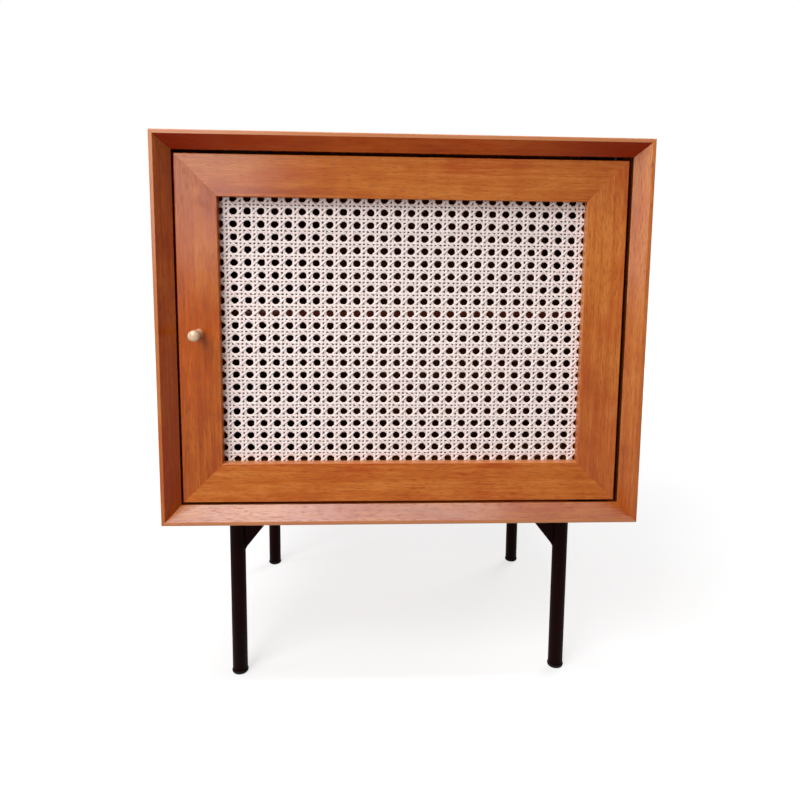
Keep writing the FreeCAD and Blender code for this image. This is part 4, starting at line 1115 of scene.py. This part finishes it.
class SIDETABLE_OT_stage(bpy.types.Operator):
    """Floor, lamps, sky and camera"""

    bl_idname = "sidetable.stage"
    bl_label = "Stage"

    def execute(self, context):
        stage = context.scene.side_table.stage
        context.scene.view_settings.view_transform = "Standard"
        self.floor(stage)
        self.sky(context, stage)
        middle = (cad_low + cad_high) / 2
        middle.z = 0.65 * cad_high.z
        self.lamp("window", (-1.1, -1.6, 2.0), middle, (1.2, 1.2), stage.window)
        # A row of lamps overhead, weaker to the right
        for name, x, share in (("left", -0.5, 1.0), ("middle", 0.12, 0.62), ("right", 0.74, 0.16)):
            below = Vector((x, -0.5, 0))
            self.lamp(name + " ceiling", (x, -0.53, 2.2), below, (0.62, 0.27), stage.ceiling * share)
        self.lamp("side", (-1.9, -0.4, 0.76), Vector((0.24, -0.19, 0.5)), (0.7, 0.9), stage.side)
        self.lamp("fill", (-0.7, -1.9, 0.74), middle, (0.6, 0.7), stage.fill)
        self.lamp("rear", (1.5, 1.8, 1.8), middle, (1.2, 1.2), stage.rear)
        self.camera(context, stage)
        return {"FINISHED"}

    def floor(self, stage):
        """A wide flat floor: its own shading, and a plain lift that only the picture sees."""
        reach, count = 12.0, 9
        steps = np.linspace(-reach, reach, count)
        x, y = np.meshgrid(steps, steps, indexing="ij")
        points = np.stack([x, y, np.zeros_like(x)], -1)
        floor = put("floor", new_mesh("floor", points, [skin(count, count, wrap=False)]))
        recipe = Recipe(bpy.data.materials.new("pale floor"))
        place = recipe.object_place()
        cloud = recipe.noise(place, (6, 6, 6), 3.0)
        paler = tuple(min(1.0, 1.02 * part) for part in stage.floor)
        shade = recipe.blend(recipe.spread(cloud, 0.3, 0.7), tuple(stage.floor), paler)
        far = recipe.add("VectorMath", {0: place}, operation="LENGTH").outputs["Value"]
        lift = recipe.times(recipe.seen(), recipe.spread(far, 0.7, 2.2, stage.floor_lift, 1.0))
        recipe.surface(Base_Color=shade, Roughness=0.9, Specular_IOR_Level=0.0)
        floor.data.materials.append(recipe.surface(Emission_Color=(1, 1, 1, 1), Emission_Strength=lift))

    def sky(self, context, stage):
        """White where the picture and reflections see it, and an even softer light everywhere else."""
        context.scene.world = bpy.data.worlds.new("studio")
        recipe = Recipe(context.scene.world, "Background")
        strength = recipe.spread(recipe.seen(), 0.0, 1.0, stage.sky, 1.0)
        recipe.surface(Color=(1, 1, 1, 1), Strength=strength)

    def lamp(self, name, place, target, size, watts):
        data = bpy.data.lights.new(name, "AREA")
        data.shape = "RECTANGLE"
        data.size, data.size_y = size
        data.energy = watts
        lamp = put(name, data)
        lamp.location = place
        lamp.rotation_euler = (target - Vector(place)).to_track_quat("-Z", "Y").to_euler()

    def camera(self, context, stage):
        """Yaw, pitch and roll turn a camera that looks along +Y."""
        sine, cosine = math.sin, math.cos
        level = Vector((cosine(stage.yaw), sine(stage.yaw), 0))
        forward = Vector((-sine(stage.yaw), cosine(stage.yaw), 0))
        ahead = cosine(stage.pitch) * forward - sine(stage.pitch) * Vector((0, 0, 1))
        upright = level.cross(ahead)
        right = cosine(stage.roll) * level + sine(stage.roll) * upright
        up = cosine(stage.roll) * upright - sine(stage.roll) * level
        data = bpy.data.cameras.new("camera")
        data.lens = stage.lens
        data.sensor_width = 36
        data.shift_x, data.shift_y = stage.shift_x, stage.shift_y
        camera = put("camera", data)
        turn = Matrix((right, up, -ahead)).transposed()
        camera.matrix_world = Matrix.Translation(stage.camera_place) @ turn.to_4x4()
        context.scene.camera = camera


class SIDETABLE_PT_panel(bpy.types.Panel):
    """Sidebar list of the table's pieces"""

    bl_idname = "SIDETABLE_PT_panel"
    bl_label = "Side table"
    bl_space_type = "VIEW_3D"
    bl_region_type = "UI"
    bl_category = "Side table"

    def draw(self, context):
        settings = context.scene.side_table
        for group in ("wood", "cane", "knob", "leg", "fitting", "stage"):
            box = self.layout.box()
            box.label(text=group.capitalize())
            for name in getattr(settings, group).__annotations__:
                box.prop(getattr(settings, group), name)
        for operator in OPERATORS:
            self.layout.operator(operator.bl_idname)


OPERATORS = (
    SIDETABLE_OT_box,
    SIDETABLE_OT_door_frame,
    SIDETABLE_OT_cane,
    SIDETABLE_OT_knob,
    SIDETABLE_OT_legs,
    SIDETABLE_OT_inside,
    SIDETABLE_OT_fittings,
    SIDETABLE_OT_stage,
)
GROUPS = (
    WoodSettings,
    CaneSettings,
    KnobSettings,
    LegSettings,
    FittingSettings,
    StageSettings,
    SideTableSettings,
)


def register():
    for each in GROUPS + OPERATORS + (SIDETABLE_PT_panel,):
        bpy.utils.register_class(each)
    bpy.types.Scene.side_table = PointerProperty(type=SideTableSettings)


def unregister():
    del bpy.types.Scene.side_table
    for each in reversed(GROUPS + OPERATORS + (SIDETABLE_PT_panel,)):
        bpy.utils.unregister_class(each)


def main():
    register()
    bpy.ops.sidetable.box()
    bpy.ops.sidetable.door_frame()
    bpy.ops.sidetable.cane()
    bpy.ops.sidetable.knob()
    bpy.ops.sidetable.legs()
    bpy.ops.sidetable.inside()
    bpy.ops.sidetable.fittings()
    bpy.ops.sidetable.stage()


if __name__ == "__main__":
    main()
